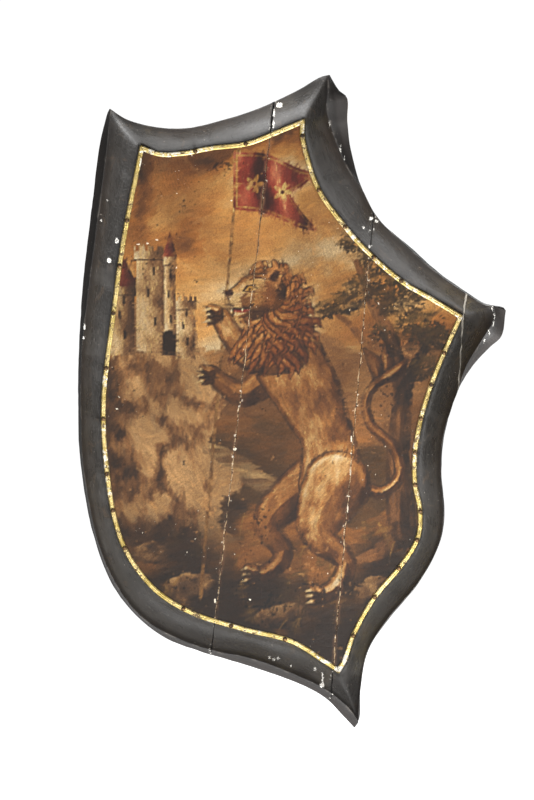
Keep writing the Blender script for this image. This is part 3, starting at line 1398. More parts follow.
    def cloth(self) -> None:
        """The banner's crimson cloth with its gold hem and rosettes."""
        long, hoist = 88, -29
        along = (self.x - hoist) / long
        sway = 8 * np.sin(along * 5.4 + 0.4) * along - 14 * np.maximum(along, 0) ** 1.5
        top, low = 148 - 2 * along + sway, 86 - 8 * along + sway * 0.8
        notch = 1.0 - 0.34 * np.clip(1 - np.abs(self.z - (top + low) / 2) / 30, 0, 1)
        ends = np.maximum(-0.02 - along, along - notch) * long
        edge = np.maximum(np.maximum(self.z - top, low - self.z), ends)
        folds = np.sin(along * 13.0 + 0.9 * np.sin(self.z / 17) + 0.5)
        light = 0.42 + 0.34 * folds + 0.5 * self.noise(12, 213, 3, 2) + 0.002 * (self.z - 110)
        silk = toned(light, (44, 16, 14), self.crimson, (158, 66, 48), (206, 124, 88))
        self.lay(silk, cover(edge, 1.3), 1.45 + 0.3 * folds, 0.8)
        hem = cover(np.abs(edge + 3.6) - 0.9) * (edge < 0) * 0.9
        self.lay(toned(light, (120, 76, 30), (232, 190, 104)), hem)
        for share in (0.24, 0.58):
            rise = 115 - 5 * share + 0.9 * (8 * math.sin(share * 5.4 + 0.4) * share - 14 * share ** 1.5)
            across, up = self.x - (hoist + share * long), self.z - rise
            reach, turn = np.hypot(across, up), np.arctan2(up, across)
            gold = toned(light, (150, 104, 50), (238, 206, 130))
            self.lay(gold, cover(reach - (7.2 + 3.4 * np.cos(5 * turn)), 1.1), 0.8)
            self.lay((96, 40, 30), cover(reach - 2.2))

    def curled(self, points: Sequence[Sequence[float]], count: int = 14) -> Array:
        """A smooth limb through a few points."""
        return curve_at(np.array(points, float), np.linspace(0, 1, count))

    def lion(self) -> None:
        """A heraldic lion, reared up with its forepaws on the pole."""
        tail = [(104, -208, 7), (128, -218, 5.5), (148, -200, 5), (142, -170, 4.6), (118, -146, 4.4)]
        far_leg = [
            (54, -206, 27), (16, -236, 20), (6, -254, 14), (24, -284, 9.5), (6, -304, 8.5), (-8, -305, 7.5),
        ]
        near_leg = [
            (80, -210, 36), (60, -250, 23), (64, -268, 16), (90, -292, 10.5), (82, -318, 9.5),
            (64, -328, 8.5),
        ]
        for points, count, bright, paw in (
            ([*tail, (112, -118, 4.2), (126, -96, 4)], 26, 0.85, None),
            ([(126, -98, 4), (134, -84, 8.5), (132, -62, 0.8)], 8, 0.72, None),
            ([(126, -98, 4), (122, -80, 7), (110, -64, 0.8)], 8, 0.72, None),
            ([(126, -98, 4), (144, -88, 6.5), (156, -74, 0.8)], 8, 0.72, None),
            ([(10, -92, 17), (-20, -112, 13), (-40, -102, 9.6), (-54, -91, 9)], 14, 0.62, (-54, -91)),
            (far_leg, 14, 0.6, (-6, -305)),
            ([(76, -206, 36), (72, -164, 28), (50, -112, 35), (26, -70, 38), (16, -40, 33)], 14, 1.0, None),
            (near_leg, 14, 1.02, (64, -328)),
            ([(26, -66, 23), (-8, -72, 17), (-30, -52, 12), (-44, -30, 10)], 14, 1.04, (-46, -26)),
        ):
            self.fur([self.curled(points, count)], bright)
            if paw:
                self.paw(*paw)
        self.mane()
        self.fur([[(-8, -21, 10), (-23, -27, 7.5)]], 1.05)
        self.fur([[(5, -3, 20), (-8, -2, 18.5)], [(-14, -7, 14.5), (-27, -10, 12.0)]], 1.0)
        self.near([(-46, -40), (28, 32)], 4).face()

    def fur(self, limbs: Sequence[Sequence[Sequence[float]]], bright: float, join: float = 7.0) -> None:
        """Run limbs together and model them as one rounded form in tawny fur.

        Args:
            limbs: The limbs' points of x, z and radius.
            bright: How light the form is.
            join: How softly the limbs run together.
        """
        every = [point for points in limbs for point in points]
        part = self.near(every, 6 + max(point[2] for point in every))
        total, way = np.full(part.x.shape, 1e9), np.zeros(part.x.shape)
        for points in limbs:
            gap, run = part.limb(points)
            mix = np.clip(0.5 + 0.5 * (total - gap) / join, 0, 1)
            way = np.where(gap < total, run, way)
            total = total * (1 - mix) + gap * mix - join * mix * (1 - mix)
        inside = np.clip(-total, 0, None)
        depth = np.sqrt(np.clip(inside * 30 - inside ** 2 * 0.25, 0, None))
        slope_z, slope_x = np.gradient(depth, self.pixel)
        light = np.clip(0.44 + 0.26 * slope_x - 0.34 * slope_z, 0, 1.1)
        light = (light * np.clip(inside / 5, 0.35, 1) + 0.34 * part.noise(9, 223, 4, 1.6)) * bright + 0.04
        colour = toned(light, (40, 26, 18), (104, 64, 32), (172, 116, 60), (224, 180, 118), (244, 222, 178))
        part.lay((36, 24, 18), cover(total - 1.6, 1.6) * 0.75, way, 0.8)
        part.lay(colour, cover(total, 1.4), way, 0.9)

    def paw(self, x: float, z: float) -> None:
        """Paint toes and claws at the end of a leg.

        Args:
            x: The place of the leg's end across.
            z: Its height.
        """
        for aside in (-6.5, 0.0, 6.0):
            self.fur([[(x - 2, z + aside * 0.6, 5.2), (x - 9, z + aside, 3.8)]], 1.05)
            part = self.near([(x - 14, z + aside)], 8)
            claw, _ = part.limb([(x - 11, z + aside, 1.6), (x - 17, z + aside - 2.5, 0.3)])
            part.lay((226, 202, 152), cover(claw))

    def mane(self) -> None:
        """Locks of the mane, laid one over another from the chest up to the brow."""
        chance = np.random.default_rng(229)
        for ring, (reach, count) in enumerate(((60, 26), (50, 27), (39, 24), (29, 20))):
            for number in range(count):
                turn = -2.45 + 4.55 * number / (count - 1) + chance.uniform(-0.07, 0.07)
                right, up = math.cos(turn), math.sin(turn)
                size = reach * chance.uniform(0.88, 1.1) * (0.82 - 0.16 * up)
                base = np.array([5 + 0.30 * size * right, -8 + 0.30 * size * up])
                fall = 0.34 * size * (1 - 0.9 * max(0.0, up))
                tip = np.array([11 + size * right, -10 + size * up - fall])
                bend = chance.uniform(5, 10) * (1 if right > 0 else -1)
                middle = (base + tip) / 2 + (bend * up, -bend * right)
                hook = (tip[0] + chance.uniform(2, 6) * up, tip[1] - 5)
                points = self.curled([(*base, 5.2), (*middle, 4.6), (*tip, 2.4), (*hook, 0.4)], 7)
                part = self.near(points, 8)
                gap, way = part.limb(points)
                shade = 0.36 + 0.07 * ring + 0.14 * up - 0.15 * right + chance.uniform(-0.08, 0.08)
                light = shade + 0.22 * np.clip(-gap / 3, 0, 1) + 0.3 * part.noise(4, 231, 2, 1)
                part.lay((34, 20, 14), cover(gap - 1.0) * 0.8, way)
                hair = toned(light, (52, 27, 17), (122, 66, 32), (190, 124, 62), (236, 192, 120))
                part.lay(hair, cover(gap), way)

    def face(self) -> None:
        """Ear, eye, nose and jaw of the lion's head, in side view."""
        black, dark, claw, dot = (52, 28, 22), (92, 54, 32), (246, 232, 194), 0.4
        for points, colour, blur in (
            ([(12, 12, 8.5), (16, 20, 6.5)], (206, 142, 80), 1.0),
            ([(13, 13, 4.6), (16, 19, 3.0)], (62, 36, 24), 2.0),
            ([(-2, 7, 5), (-12, 3, 4.0), (-28, -1.5, 3.0)], (228, 184, 120), 5.0),
            ([(-27, -13, 6.5), (-33, -13, 5.5)], (226, 190, 130), 4.0),
            ([(-3, -8, 7), (-8, -16, 4)], (196, 138, 76), 7.0),
            ([(6, 4, 5), (9, -12, 6)], (150, 92, 46), 8.0),
            ([(-17, -4, 1.6), (-22, -9, 1.2), (-20, -16, 1.0)], (112, 66, 34), 2.6),
            ([(-18, 7, 2.0), (-7, 10, 2.4)], (222, 176, 110), 3.0),
            ([(-37, -4, 2.6), (-33.5, -3, 3.2)], black, 0.9),
            ([(-38, -6, 1.6), (-36, -10, 0.9)], black, 0.9),
            ([(-20, -1.0, 0.9), (-16, 3.8, 1.1), (-10, 4.6, 1.3), (-5, 1.8, 0.8)], (40, 24, 18), 0.9),
            ([(-14.5, 0.8, 2.3), (-11, 1.2, 2.3)], (214, 160, 66), 0.9),
            ([(-13.2, 1.0, 1.3), (-12.4, 1.1, 1.3)], (24, 16, 12), 0.9),
            ([(-18.5, -1.4, 0.6), (-11, -2.2, 0.8), (-7, -0.6, 0.5)], (66, 38, 24), 0.9),
            (
                [(-36, -11, 0.9), (-33, -18.5, 1.1), (-25, -21, 1.2), (-15, -19.5, 1.3), (-9, -15, 0.8)],
                (38, 22, 16), 0.9,
            ),
            ([(-29, -22.5, 1.2), (-22, -23.2, 1.7), (-14, -21.8, 1.2)], (150, 54, 42), 0.9),
            ([(-32.5, -19, 1.1), (-32.8, -23.5, 0.3)], claw, 0.9),
            ([(-21, -20.6, 0.9), (-21.3, -24, 0.3)], claw, 0.9),
            ([(-28.5, -23, 0.3), (-28.8, -26.5, 1.0)], (240, 222, 180), 0.9),
            ([(-31, -15, dot), (-30.6, -15, dot)], dark, 0.9),
            ([(-27, -16, dot), (-26.6, -16, dot)], dark, 0.9),
            ([(-27.5, -12.5, dot), (-27, -12.5, dot)], dark, 0.9),
            ([(-27, -31, 2.0), (-23, -40, 0.5)], (206, 160, 98), 0.9),
            ([(-22, -32, 2.2), (-16, -42, 0.5)], (176, 122, 68), 0.9),
            ([(-16, -31, 2.0), (-9, -40, 0.5)], (150, 96, 52), 0.9),
            ([(-13, 11, 1.0), (-4, 14, 1.4), (4, 12, 0.8)], (104, 60, 32), 0.9),
        ):
            gap, _ = self.limb(points)
            self.lay(colour, cover(gap, blur))

    def undergrowth(self) -> None:
        """Rocks, ferns and tall grass along the foot of the field."""
        for x, z, wide, high, seed in (
            (-78, -322, 30, 17, 241), (30, -352, 36, 14, 243), (128, -330, 30, 20, 245),
            (-118, -284, 20, 12, 247),
        ):
            part = self.near([(x - wide, z), (x + wide, z)], 24)
            rough = 1 + 0.5 * part.noise(18, seed, 3)
            gap = (np.hypot((part.x - x) / wide, (part.z - z) / high) - rough) * high
            light = 0.42 + 0.020 * (part.z - z) - 0.006 * (part.x - x) + 0.9 * part.noise(12, seed + 1)
            stone = toned(light, (30, 24, 20), (74, 54, 36), (132, 98, 62), (186, 148, 98))
            part.lay(stone, cover(gap, 2), 0.4, 0.7)
        chance = np.random.default_rng(251)
        for number in range(46):
            x, z = chance.uniform(-150, 165), chance.uniform(-390, -270)
            lean, high = chance.uniform(-0.5, 0.5), chance.uniform(16, 34)
            colour = toned(chance.uniform(0, 1), (58, 46, 24), (120, 96, 46), (176, 132, 64))
            for step in range(14):
                share = step / 13
                spot = (x + lean * high * share ** 2 + 2 * math.sin(number), z + high * share)
                self.dab(spot, 2.4, 0.8, math.pi / 2 - lean * share, colour * (0.6 + 0.5 * share), 0.8)
                for side in (-1, 1) if number % 2 and step > 3 else ():
                    frond = (spot[0] + side * 4 * (1.15 - share), spot[1] + 1.5)
                    way, shade = math.pi / 2 - side * 0.95, colour * (0.55 + 0.5 * share)
                    self.dab(frond, 3.4 * (1.2 - share), 0.8, way, shade, 0.8)

    def brushwork(self) -> None:
        """Go over everything with strokes of three brushes, finer where there is more to show."""
        chance = np.random.default_rng(257)
        for long, wide, count, least, most, hiding in (
            (9.0, 2.6, 5200, 0.0, 0.5, 0.55), (5.5, 1.5, 12000, 0.3, 1, 0.5),
            (3.2, 0.85, 17000, 0.75, 1, 0.55),
        ):
            source = self.canvas.copy()
            rows = chance.integers(0, self.rows, count)
            columns = chance.integers(0, self.columns, count)
            for row, column, (tone, warm, turn, size) in zip(rows, columns, chance.normal(0, 1, (count, 4))):
                if least <= self.detail[row, column] <= most:
                    colour = source[row, column] * (1 + 0.07 * tone) + np.array([3.0, 0, -3.0]) * warm
                    spot = (self.x[row, column], self.z[row, column])
                    way = self.angle[row, column] + 0.22 * turn
                    self.dab(spot, long * (1 + 0.2 * size), wide, way, colour, hiding)

    def gold_lines(self) -> None:
        """Fine gold touches on the mane, the banner's edge, the castle and the leaves."""
        chance = np.random.default_rng(263)
        light = self.canvas @ np.array([0.3, 0.5, 0.2])
        for place in chance.integers(0, self.rows * self.columns, 9000):
            spot = divmod(int(place), self.columns)
            if self.detail[spot] >= 0.78 and light[spot] >= 120:
                way = self.angle[spot] + chance.normal(0, 0.15)
                self.dab((self.x[spot], self.z[spot]), 2.6, 0.42, way, np.array([236, 204, 132]), 0.6)

    def aged(self) -> None:
        """Darkened varnish, rubbed patches and the bare ground that shows through them."""
        veil = np.clip(0.94 + 0.34 * self.noise(90, 271), 0.7, 1.12)
        veil = veil * (0.70 + 0.30 * np.clip((self.z + 400) / 240, 0.0, 1.0) ** 0.6)
        self.canvas[:] = self.canvas * veil[..., None] ** np.array([0.9, 1.0, 1.15])
        patches = np.maximum(0, self.noise(60, 279, 3) - 0.12)
        worn = np.clip((self.noise(5, 277) - 0.56 + 0.9 * patches) * 9, 0, 1)[..., None]
        self.canvas[:] = self.canvas * (1 - 0.4 * worn) + 0.4 * worn * np.array([206, 152, 92])
        self.canvas[:] = np.array([20, 14, 9]) + 255 * (self.canvas / 255) ** 1.12 * 0.63
        patches = np.maximum(0, self.noise(45, 283, 3) - 0.15)
        dirt = np.clip((self.noise(4, 281) - 0.60 + 0.8 * patches) * 9, 0, 1)[..., None]
        self.canvas[:] = self.canvas * (1 - 0.4 * dirt)
        steps = [(up, across) for up in (-2, 0, 2) for across in (-2, 0, 2)]
        around = sum(np.roll(self.canvas, step, (0, 1)) for step in steps) / len(steps)
        self.canvas[:] = np.clip(self.canvas + 0.8 * (self.canvas - around), 0, 235)

    def finish(self) -> None:
        """Paint the whole field, from the sky to the varnish."""
        for step in (
            self.sky, self.hills, self.crag, self.castle, self.tree, self.undergrowth, self.banner,
            self.lion, self.brushwork, self.gold_lines, self.aged,
        ):
            step()

    def at(self, x: Array, z: Array) -> tuple[Array, Array]:
        """Read the painting at places in metres.

        Args:
            x: The places across.
            z: Their heights.

        Returns:
            The linear colours and the relief.
        """
        column = np.clip((x / MM - self.left) / self.pixel - 0.5, 0, self.columns - 1.001)
        row = np.clip((z / MM - self.bottom) / self.pixel - 0.5, 0, self.rows - 1.001)
        left, low = column.astype(int), row.astype(int)
        across, up = (column - left)[:, None], (row - low)[:, None]
        layers = np.dstack([self.canvas / 255, self.relief])
        lower = layers[low, left] * (1 - across) + layers[low, left + 1] * across
        upper = layers[low + 1, left] * (1 - across) + layers[low + 1, left + 1] * across
        mixed = lower * (1 - up) + upper * up
        return np.clip(mixed[:, :3], 0, 1) ** 2.2, mixed[:, 3]


@dataclass
class GiltStrips:
    """Double-reeded gilt strips along the four sides of the field, mitred at the corners."""

    gilding: Material
    boards: RimmedBoards
    width: float = 0.0054
    height: float = 0.0024
    facing: float = 0.0012
    waver: float = 0.0003

    def seat(self, spots: Array) -> Array:
        """How far forward the strip's underside lies."""
        return board_front(*spots.T) + self.facing + 2 * FIT_GAP

    def section(self) -> Array:
        """The strip's section: out from the field, and forward from its seat."""
        half = self.width / 2
        across = -np.cos(np.linspace(0, math.pi, 17))
        dome = 0.30 + 0.70 * np.sqrt(1 - across ** 2) - 0.17 * np.exp(-((across / 0.2) ** 2))
        reeds = np.column_stack([across * half * 0.98, dome * self.height])
        return np.vstack([[-half, 0], reeds, [half, 0]])

    def outwards(self, loop: Array) -> Array:
        """Find the way out of the field all along its outline, longer where two sides mitre.

        Args:
            loop: The outline's points.

        Returns:
            The way out at each.
        """
        steps = loop - np.roll(loop, 1, axis=0)
        normals = unit(np.column_stack([-steps[:, 1], steps[:, 0]]))
        middle = unit(normals + np.roll(normals, -1, axis=0))
        return middle / np.sum(middle * normals, axis=1)[:, None]

    def strip(self, spots: Array, outwards: Array) -> Form:
        """Sweep one side's strip, which waves and wears a little.

        Args:
            spots: The points of its line.
            outwards: The way out of the field at each.

        Returns:
            The strip.
        """
        section = self.section()
        for end, towards in ((0, 1), (-1, -2)):
            way = spots[towards] - spots[end]
            spots[end] += way * (FIT_GAP * np.linalg.norm(outwards[end]) / np.linalg.norm(way))
        waves = self.waver * cloudy(*spots.T * 70, 31)
        wear = 1 + 0.5 * np.minimum(0, cloudy(*spots.T * 110, 33, 3))
        rings = []
        for spot, out, wave, left in zip(spots, outwards, waves, wear):
            places = spot + out * (section[:, :1] * (0.72 + 0.28 * left) + wave)
            forward = self.seat(places) + section[:, 1] * left
            rings.append(np.column_stack([places[:, 0], -forward, places[:, 1]]))
        return lofted(np.array(rings), capped=True)

    def build(self) -> None:
        """Lay a strip along each side."""
        loop = self.boards.loop(FIELD_SHARES)
        outwards = self.outwards(loop)
        first = 0
        for side, steps in zip(SIDES, self.boards.steps):
            index = (first + np.arange(steps + 1)) % len(loop)
            first += steps
            form = self.strip(loop[index], outwards[index])
            piece = finished(f"gilded_{side.value}_strip", form, [self.gilding], 50)
            settled(piece, "gilding", f"gilt_strip_{side.value}")


def turned(profile: Sequence[tuple[float, float]], steps: int) -> Form:
    """Turn a closed form about the Y axis.

    Args:
        profile: The radius and the y of each point of its outline.
        steps: How many steps go round it.

    Returns:
        The form.
    """
    form = bmesh.new()
    verts = [form.verts.new((radius, y, 0)) for radius, y in profile]
    edges = [form.edges.new(pair) for pair in zip(verts, verts[1:])]
    bmesh.ops.spin(
        form, geom=verts + edges, cent=(0, 0, 0), axis=(0, 1, 0), angle=2 * math.pi, steps=steps,
        use_merge=True, use_duplicate=False,
    )
    bmesh.ops.remove_doubles(form, verts=form.verts[:], dist=MERGED_WITHIN)
    bmesh.ops.recalc_face_normals(form, faces=form.faces[:])
    return form


@dataclass
class DomedNails:
    """Small domed tacks that hold the strips."""

    brass: Material
    strips: GiltStrips
    head: float = 0.0025
    height: float = 0.0015
    shank: float = 0.0008
    length: float = 0.009
    tilt: float = 0.08
    dome_shares: tuple[tuple[float, float], ...] = ((1, 0), (0.98, 0.25), (0.8, 0.66), (0.45, 0.93), (0, 1))

    def tack(self) -> Form:
        """One tack, the underside of its head at the origin."""
        dome = [(self.head * out, -self.height * forward) for out, forward in self.dome_shares]
        shank = [(0, self.length), (self.shank, self.length - 2 * self.shank), (self.shank, 0)]
        return turned(shank + dome, 20)

    def build(self) -> None:
        """Drive a tack at each of its places, a little askew."""
        spots = [curve_at(side_points(FIELD_SHARES, side), np.array(TACK_SHARES[side])) for side in SIDES]
        chance = np.random.default_rng(5)
        for number, spot in enumerate(np.vstack(spots), 1):
            nod, lean = (Matrix.Rotation(chance.uniform(-self.tilt, self.tilt), 3, axis) for axis in "XZ")
            forward = self.strips.seat(spot) + self.strips.height + FIT_GAP
            form = moved(self.tack(), (spot[0], -forward, spot[1]), nod @ lean)
            settled(finished(f"domed_tack_{number}", form, [self.brass], 50), "tack_brass", f"tack_{number}")


@dataclass
class Battens:
    """Two cross battens that keep the boards together, flat behind, with a peg into each long board."""

    wood: Material
    peg_wood: Material
    width: float = 0.045
    chamfer: float = 0.009
    past_joint: float = 0.0275
    softness: float = 0.0016
    end_step: float = 0.003
    end_inset: float = 0.0008
    seat_inset: float = 0.0003
    bow: float = 0.0001
    tooling: float = 0.00025
    peg_radius: float = 0.0045
    peg_depth: float = 0.010
    peg_lead: float = 0.002
    peg_softness: float = 0.0004
    places: tuple[tuple[str, float], ...] = (("upper_batten", 0.0), ("lower_batten", -0.245))

    def half_length(self) -> float:
        """How far a batten reaches to each side of the middle."""
        return BOARD_JOINTS[1].x + self.past_joint

    def batten(self, z: float) -> Form:
        """Plane one batten, fitted to the boards' crown and chamfered at its ends.

        Args:
            z: The height of its middle.

        Returns:
            The batten.
        """
        half, soft = self.half_length(), self.softness
        even = np.linspace(-half + self.end_step, half - self.end_step, 60)
        along = np.array([-half, -half + self.end_inset, *even, half - self.end_inset, half])
        rings = []
        for x, tool in zip(along, self.tooling * cloudy(along * 40, np.full(len(along), z), 41, 3)):
            inset = self.end_inset if abs(x) >= half else 0.0
            rear = -min(self.chamfer, max(0.0, self.chamfer - (half - abs(x)))) - inset
            seat, edge, near = board_rear_y(x, z) + FIT_GAP, self.width / 2 - inset, soft * 0.3
            corner = ((seat, self.seat_inset), (rear - soft, tool), (rear - near, near), (rear, soft))
            rings.append([
                *((x, y, z - edge + inwards) for y, inwards in corner), (x, rear - self.bow, z),
                *((x, y, z + edge - inwards) for y, inwards in corner[::-1]), (x, seat, z),
            ])
        return lofted(np.array(rings), capped=True)

    def peg(self, x: float, z: float, seed: int) -> Form:
        """Whittle a peg, cut off flush with the batten.

        Args:
            x: Its place across.
            z: Its height.
            seed: What its turn comes from.

        Returns:
            The peg.
        """
        start, radius, soft = board_rear_y(x, z) - self.peg_depth, self.peg_radius, self.peg_softness
        form = turned([
            (0, start), (radius * 0.8, start), (radius, start + self.peg_lead), (radius, -soft * 1.5),
            (radius - soft, -soft * 0.25), (radius * 0.5, soft * 0.125), (0, 0),
        ], 9)
        return moved(form, (x, 0, z), Matrix.Rotation(seed * 0.7, 3, "Y"))

    def build(self) -> None:
        """Make both battens and their pegs."""
        half = self.half_length()
        for name, z in self.places:
            settled(finished(f"planed_{name}", self.batten(z), [self.wood], 40), "batten_wood", name)
            bounds = [-half, *(joint.x + joint.lean * z for joint in BOARD_JOINTS[:2]), half]
            for number, (left, right) in enumerate(zip(bounds, bounds[1:]), 1):
                form = self.peg((left + right) / 2, z, number)
                piece = finished(f"{name}_whittled_peg_{number}", form, [self.peg_wood], 30)
                settled(piece, "peg_wood", f"{name}_peg_{number}")


def swept(path: Array, section: Array) -> Form:
    """Sweep a closed section along a path that keeps to one x, and close both ends.

    Args:
        path: Points of the path.
        section: The section, across along x and out from the path; one for all its points, or one for each.

    Returns:
        The swept form.
    """
    across = np.array([1.0, 0, 0])
    outwards = unit(np.cross(unit(np.gradient(path, axis=0)), across))[:, None]
    return lofted(path[:, None] + section[..., :1] * across + section[..., 1:] * outwards, capped=True)


def rounded_band(width: float, thickness: float, roundness: float) -> Array:
    """Draw a flat section with rounded edges, about its middle.

    Args:
        width: Its width.
        thickness: Its thickness.
        roundness: The radius of its edges.

    Returns:
        Its points.
    """
    half, deep = width / 2 - roundness, thickness / 2 - roundness
    points = []
    for quarter, (right, up) in enumerate(((half, deep), (-half, deep), (-half, -deep), (half, -deep))):
        for angle in np.linspace(quarter, quarter + 1, 5) * math.pi / 2:
            points.append((right + roundness * math.cos(angle), up + roundness * math.sin(angle)))
        if quarter in (0, 2):
            side = math.copysign(thickness / 2, up)
            points += [(right * (1 - 2 * share), side) for share in (0.25, 0.5, 0.75)]
    return np.array(points)


@dataclass
class ArmStrap:
    """A leather strap that lies flat at both ends and arches over the arm between them."""

    name: str
    leather: Material
    thread: Material
    iron: Material
    x: float
    width: float
    thickness: float
    half_span: float
    height: float
    foot: float
    nail_places: tuple[float, ...]
    roundness: float = 0.0009
    bends: tuple[tuple[float, float], ...] = ((0.003, 0.0006), (0.010, 0.0))
    end_step: float = 0.004
    stitch_inset: float = 0.0035
    stitch_spacing: float = 0.0042
    stitch_half_width: float = 0.00045
    stitch_half_height: float = 0.00035
    stitch_lift: float = 0.0001
    rose_head: tuple[tuple[float, float], ...] = (
        (0, -0.013), (0.0016, -0.0098), (0.0016, 0), (0.0068, 0), (0.007, 0.0007), (0.0062, 0.0017),
        (0.0042, 0.0028), (0.002, 0.0033), (0, 0.0034),
    )
    hammered_from: float = 0.0005

    def seat(self) -> float:
        """The plane that the feet's undersides lie on."""
        return board_rear_y(self.x, ARM_LINE_Z + self.half_span + self.foot)

    def path(self) -> Array:
        """The middle of the strap's thickness, from the lower foot over the arch to the upper foot."""
        middle = self.thickness / 2
        reach, span, high = self.half_span + self.foot, self.half_span - middle, self.height - middle
        angles = np.linspace(math.pi - 0.13, 0.13, 64)
        arch = np.column_stack([span * np.cos(angles), high * np.sin(angles)])
        bends = [(self.half_span + out, middle + lift) for out, lift in self.bends]
        foot = np.array([*bends, (reach - self.end_step, middle), (reach, middle)])
        along, up = curve_at(np.vstack([foot[::-1] * (-1, 1), arch, foot]), np.linspace(0, 1, 150)).T
        return np.column_stack([np.full(len(along), self.x), self.seat() + FIT_GAP + up, ARM_LINE_Z + along])

    def stitches(self, path: Array) -> Form:
        """Sew two rows of stitches along the strap's edges, on both faces.

        Args:
            path: The strap's middle.

        Returns:
            The stitches.
        """
        count = int(np.linalg.norm(np.diff(path, axis=0), axis=1).sum() / self.stitch_spacing)
        starts, ends = (at_shares(path, (np.arange(1, count) + reach) / count) for reach in (-0.31, 0.31))
        form = bmesh.new()
        for start, end in zip(starts, ends):
            stitch = Vector(end - start)
            way = stitch.normalized()
            out = way.cross(Vector((1, 0, 0)))
            size = Matrix.Diagonal((stitch.length / 2, self.stitch_half_width, self.stitch_half_height))
            turn = (Matrix((way, (1, 0, 0), out)).transposed() @ size).to_4x4()
            lift = out * (self.thickness / 2 + self.stitch_lift)
            across = Vector((self.width / 2 - self.stitch_inset, 0, 0))
            for side, face in ((-1, -1), (-1, 1), (1, -1), (1, 1)):
                place = Matrix.Translation(Vector((start + end) / 2) + lift * face + across * side)
                bmesh.ops.create_icosphere(form, subdivisions=1, radius=1, matrix=place @ turn)
        return form

    def nail(self, place: Sequence[float], seed: int) -> Form:
        """Forge a rose-head nail, its head hammered into facets.

        Args:
            place: Where the underside of its head lies.
            seed: What its facets come from.

        Returns:
            The nail.
        """
        form = turned(self.rose_head, 14)
        for vert in form.verts:
            if vert.co.y > self.hammered_from:
                angle = math.atan2(vert.co.z, vert.co.x)
                facet = 1 + 0.06 * math.cos(4 * angle + seed) + 0.04 * math.cos(7 * angle + 2 * seed)
                vert.co = vert.co * Vector((facet, 1 - 0.1 * abs(math.cos(2.5 * angle + seed)), facet))
        return moved(form, place)

    def build(self) -> None:
        """Make the strap, its stitches and its nails."""
        path = self.path()
        form = swept(path, rounded_band(self.width, self.thickness, self.roundness))
        settled(finished(f"leather_{self.name}", form, [self.leather], 60), "leather", self.name)
        settled(finished(f"{self.name}_stitches", self.stitches(path), [self.thread]), "leather")
        for end, way in (("upper", 1), ("lower", -1)):
            for number, aside in enumerate(self.nail_places, 1):
                up = ARM_LINE_Z + way * (self.half_span + self.foot / 2)
                place = (self.x + aside, self.seat() + self.thickness + FIT_GAP, up)
                form = self.nail(place, number + 3 * way + len(self.name))
                name = f"{self.name}_nail_{end}_{number}"
                settled(finished(f"rose_head_{name}", form, [self.iron], 30), "iron", name)


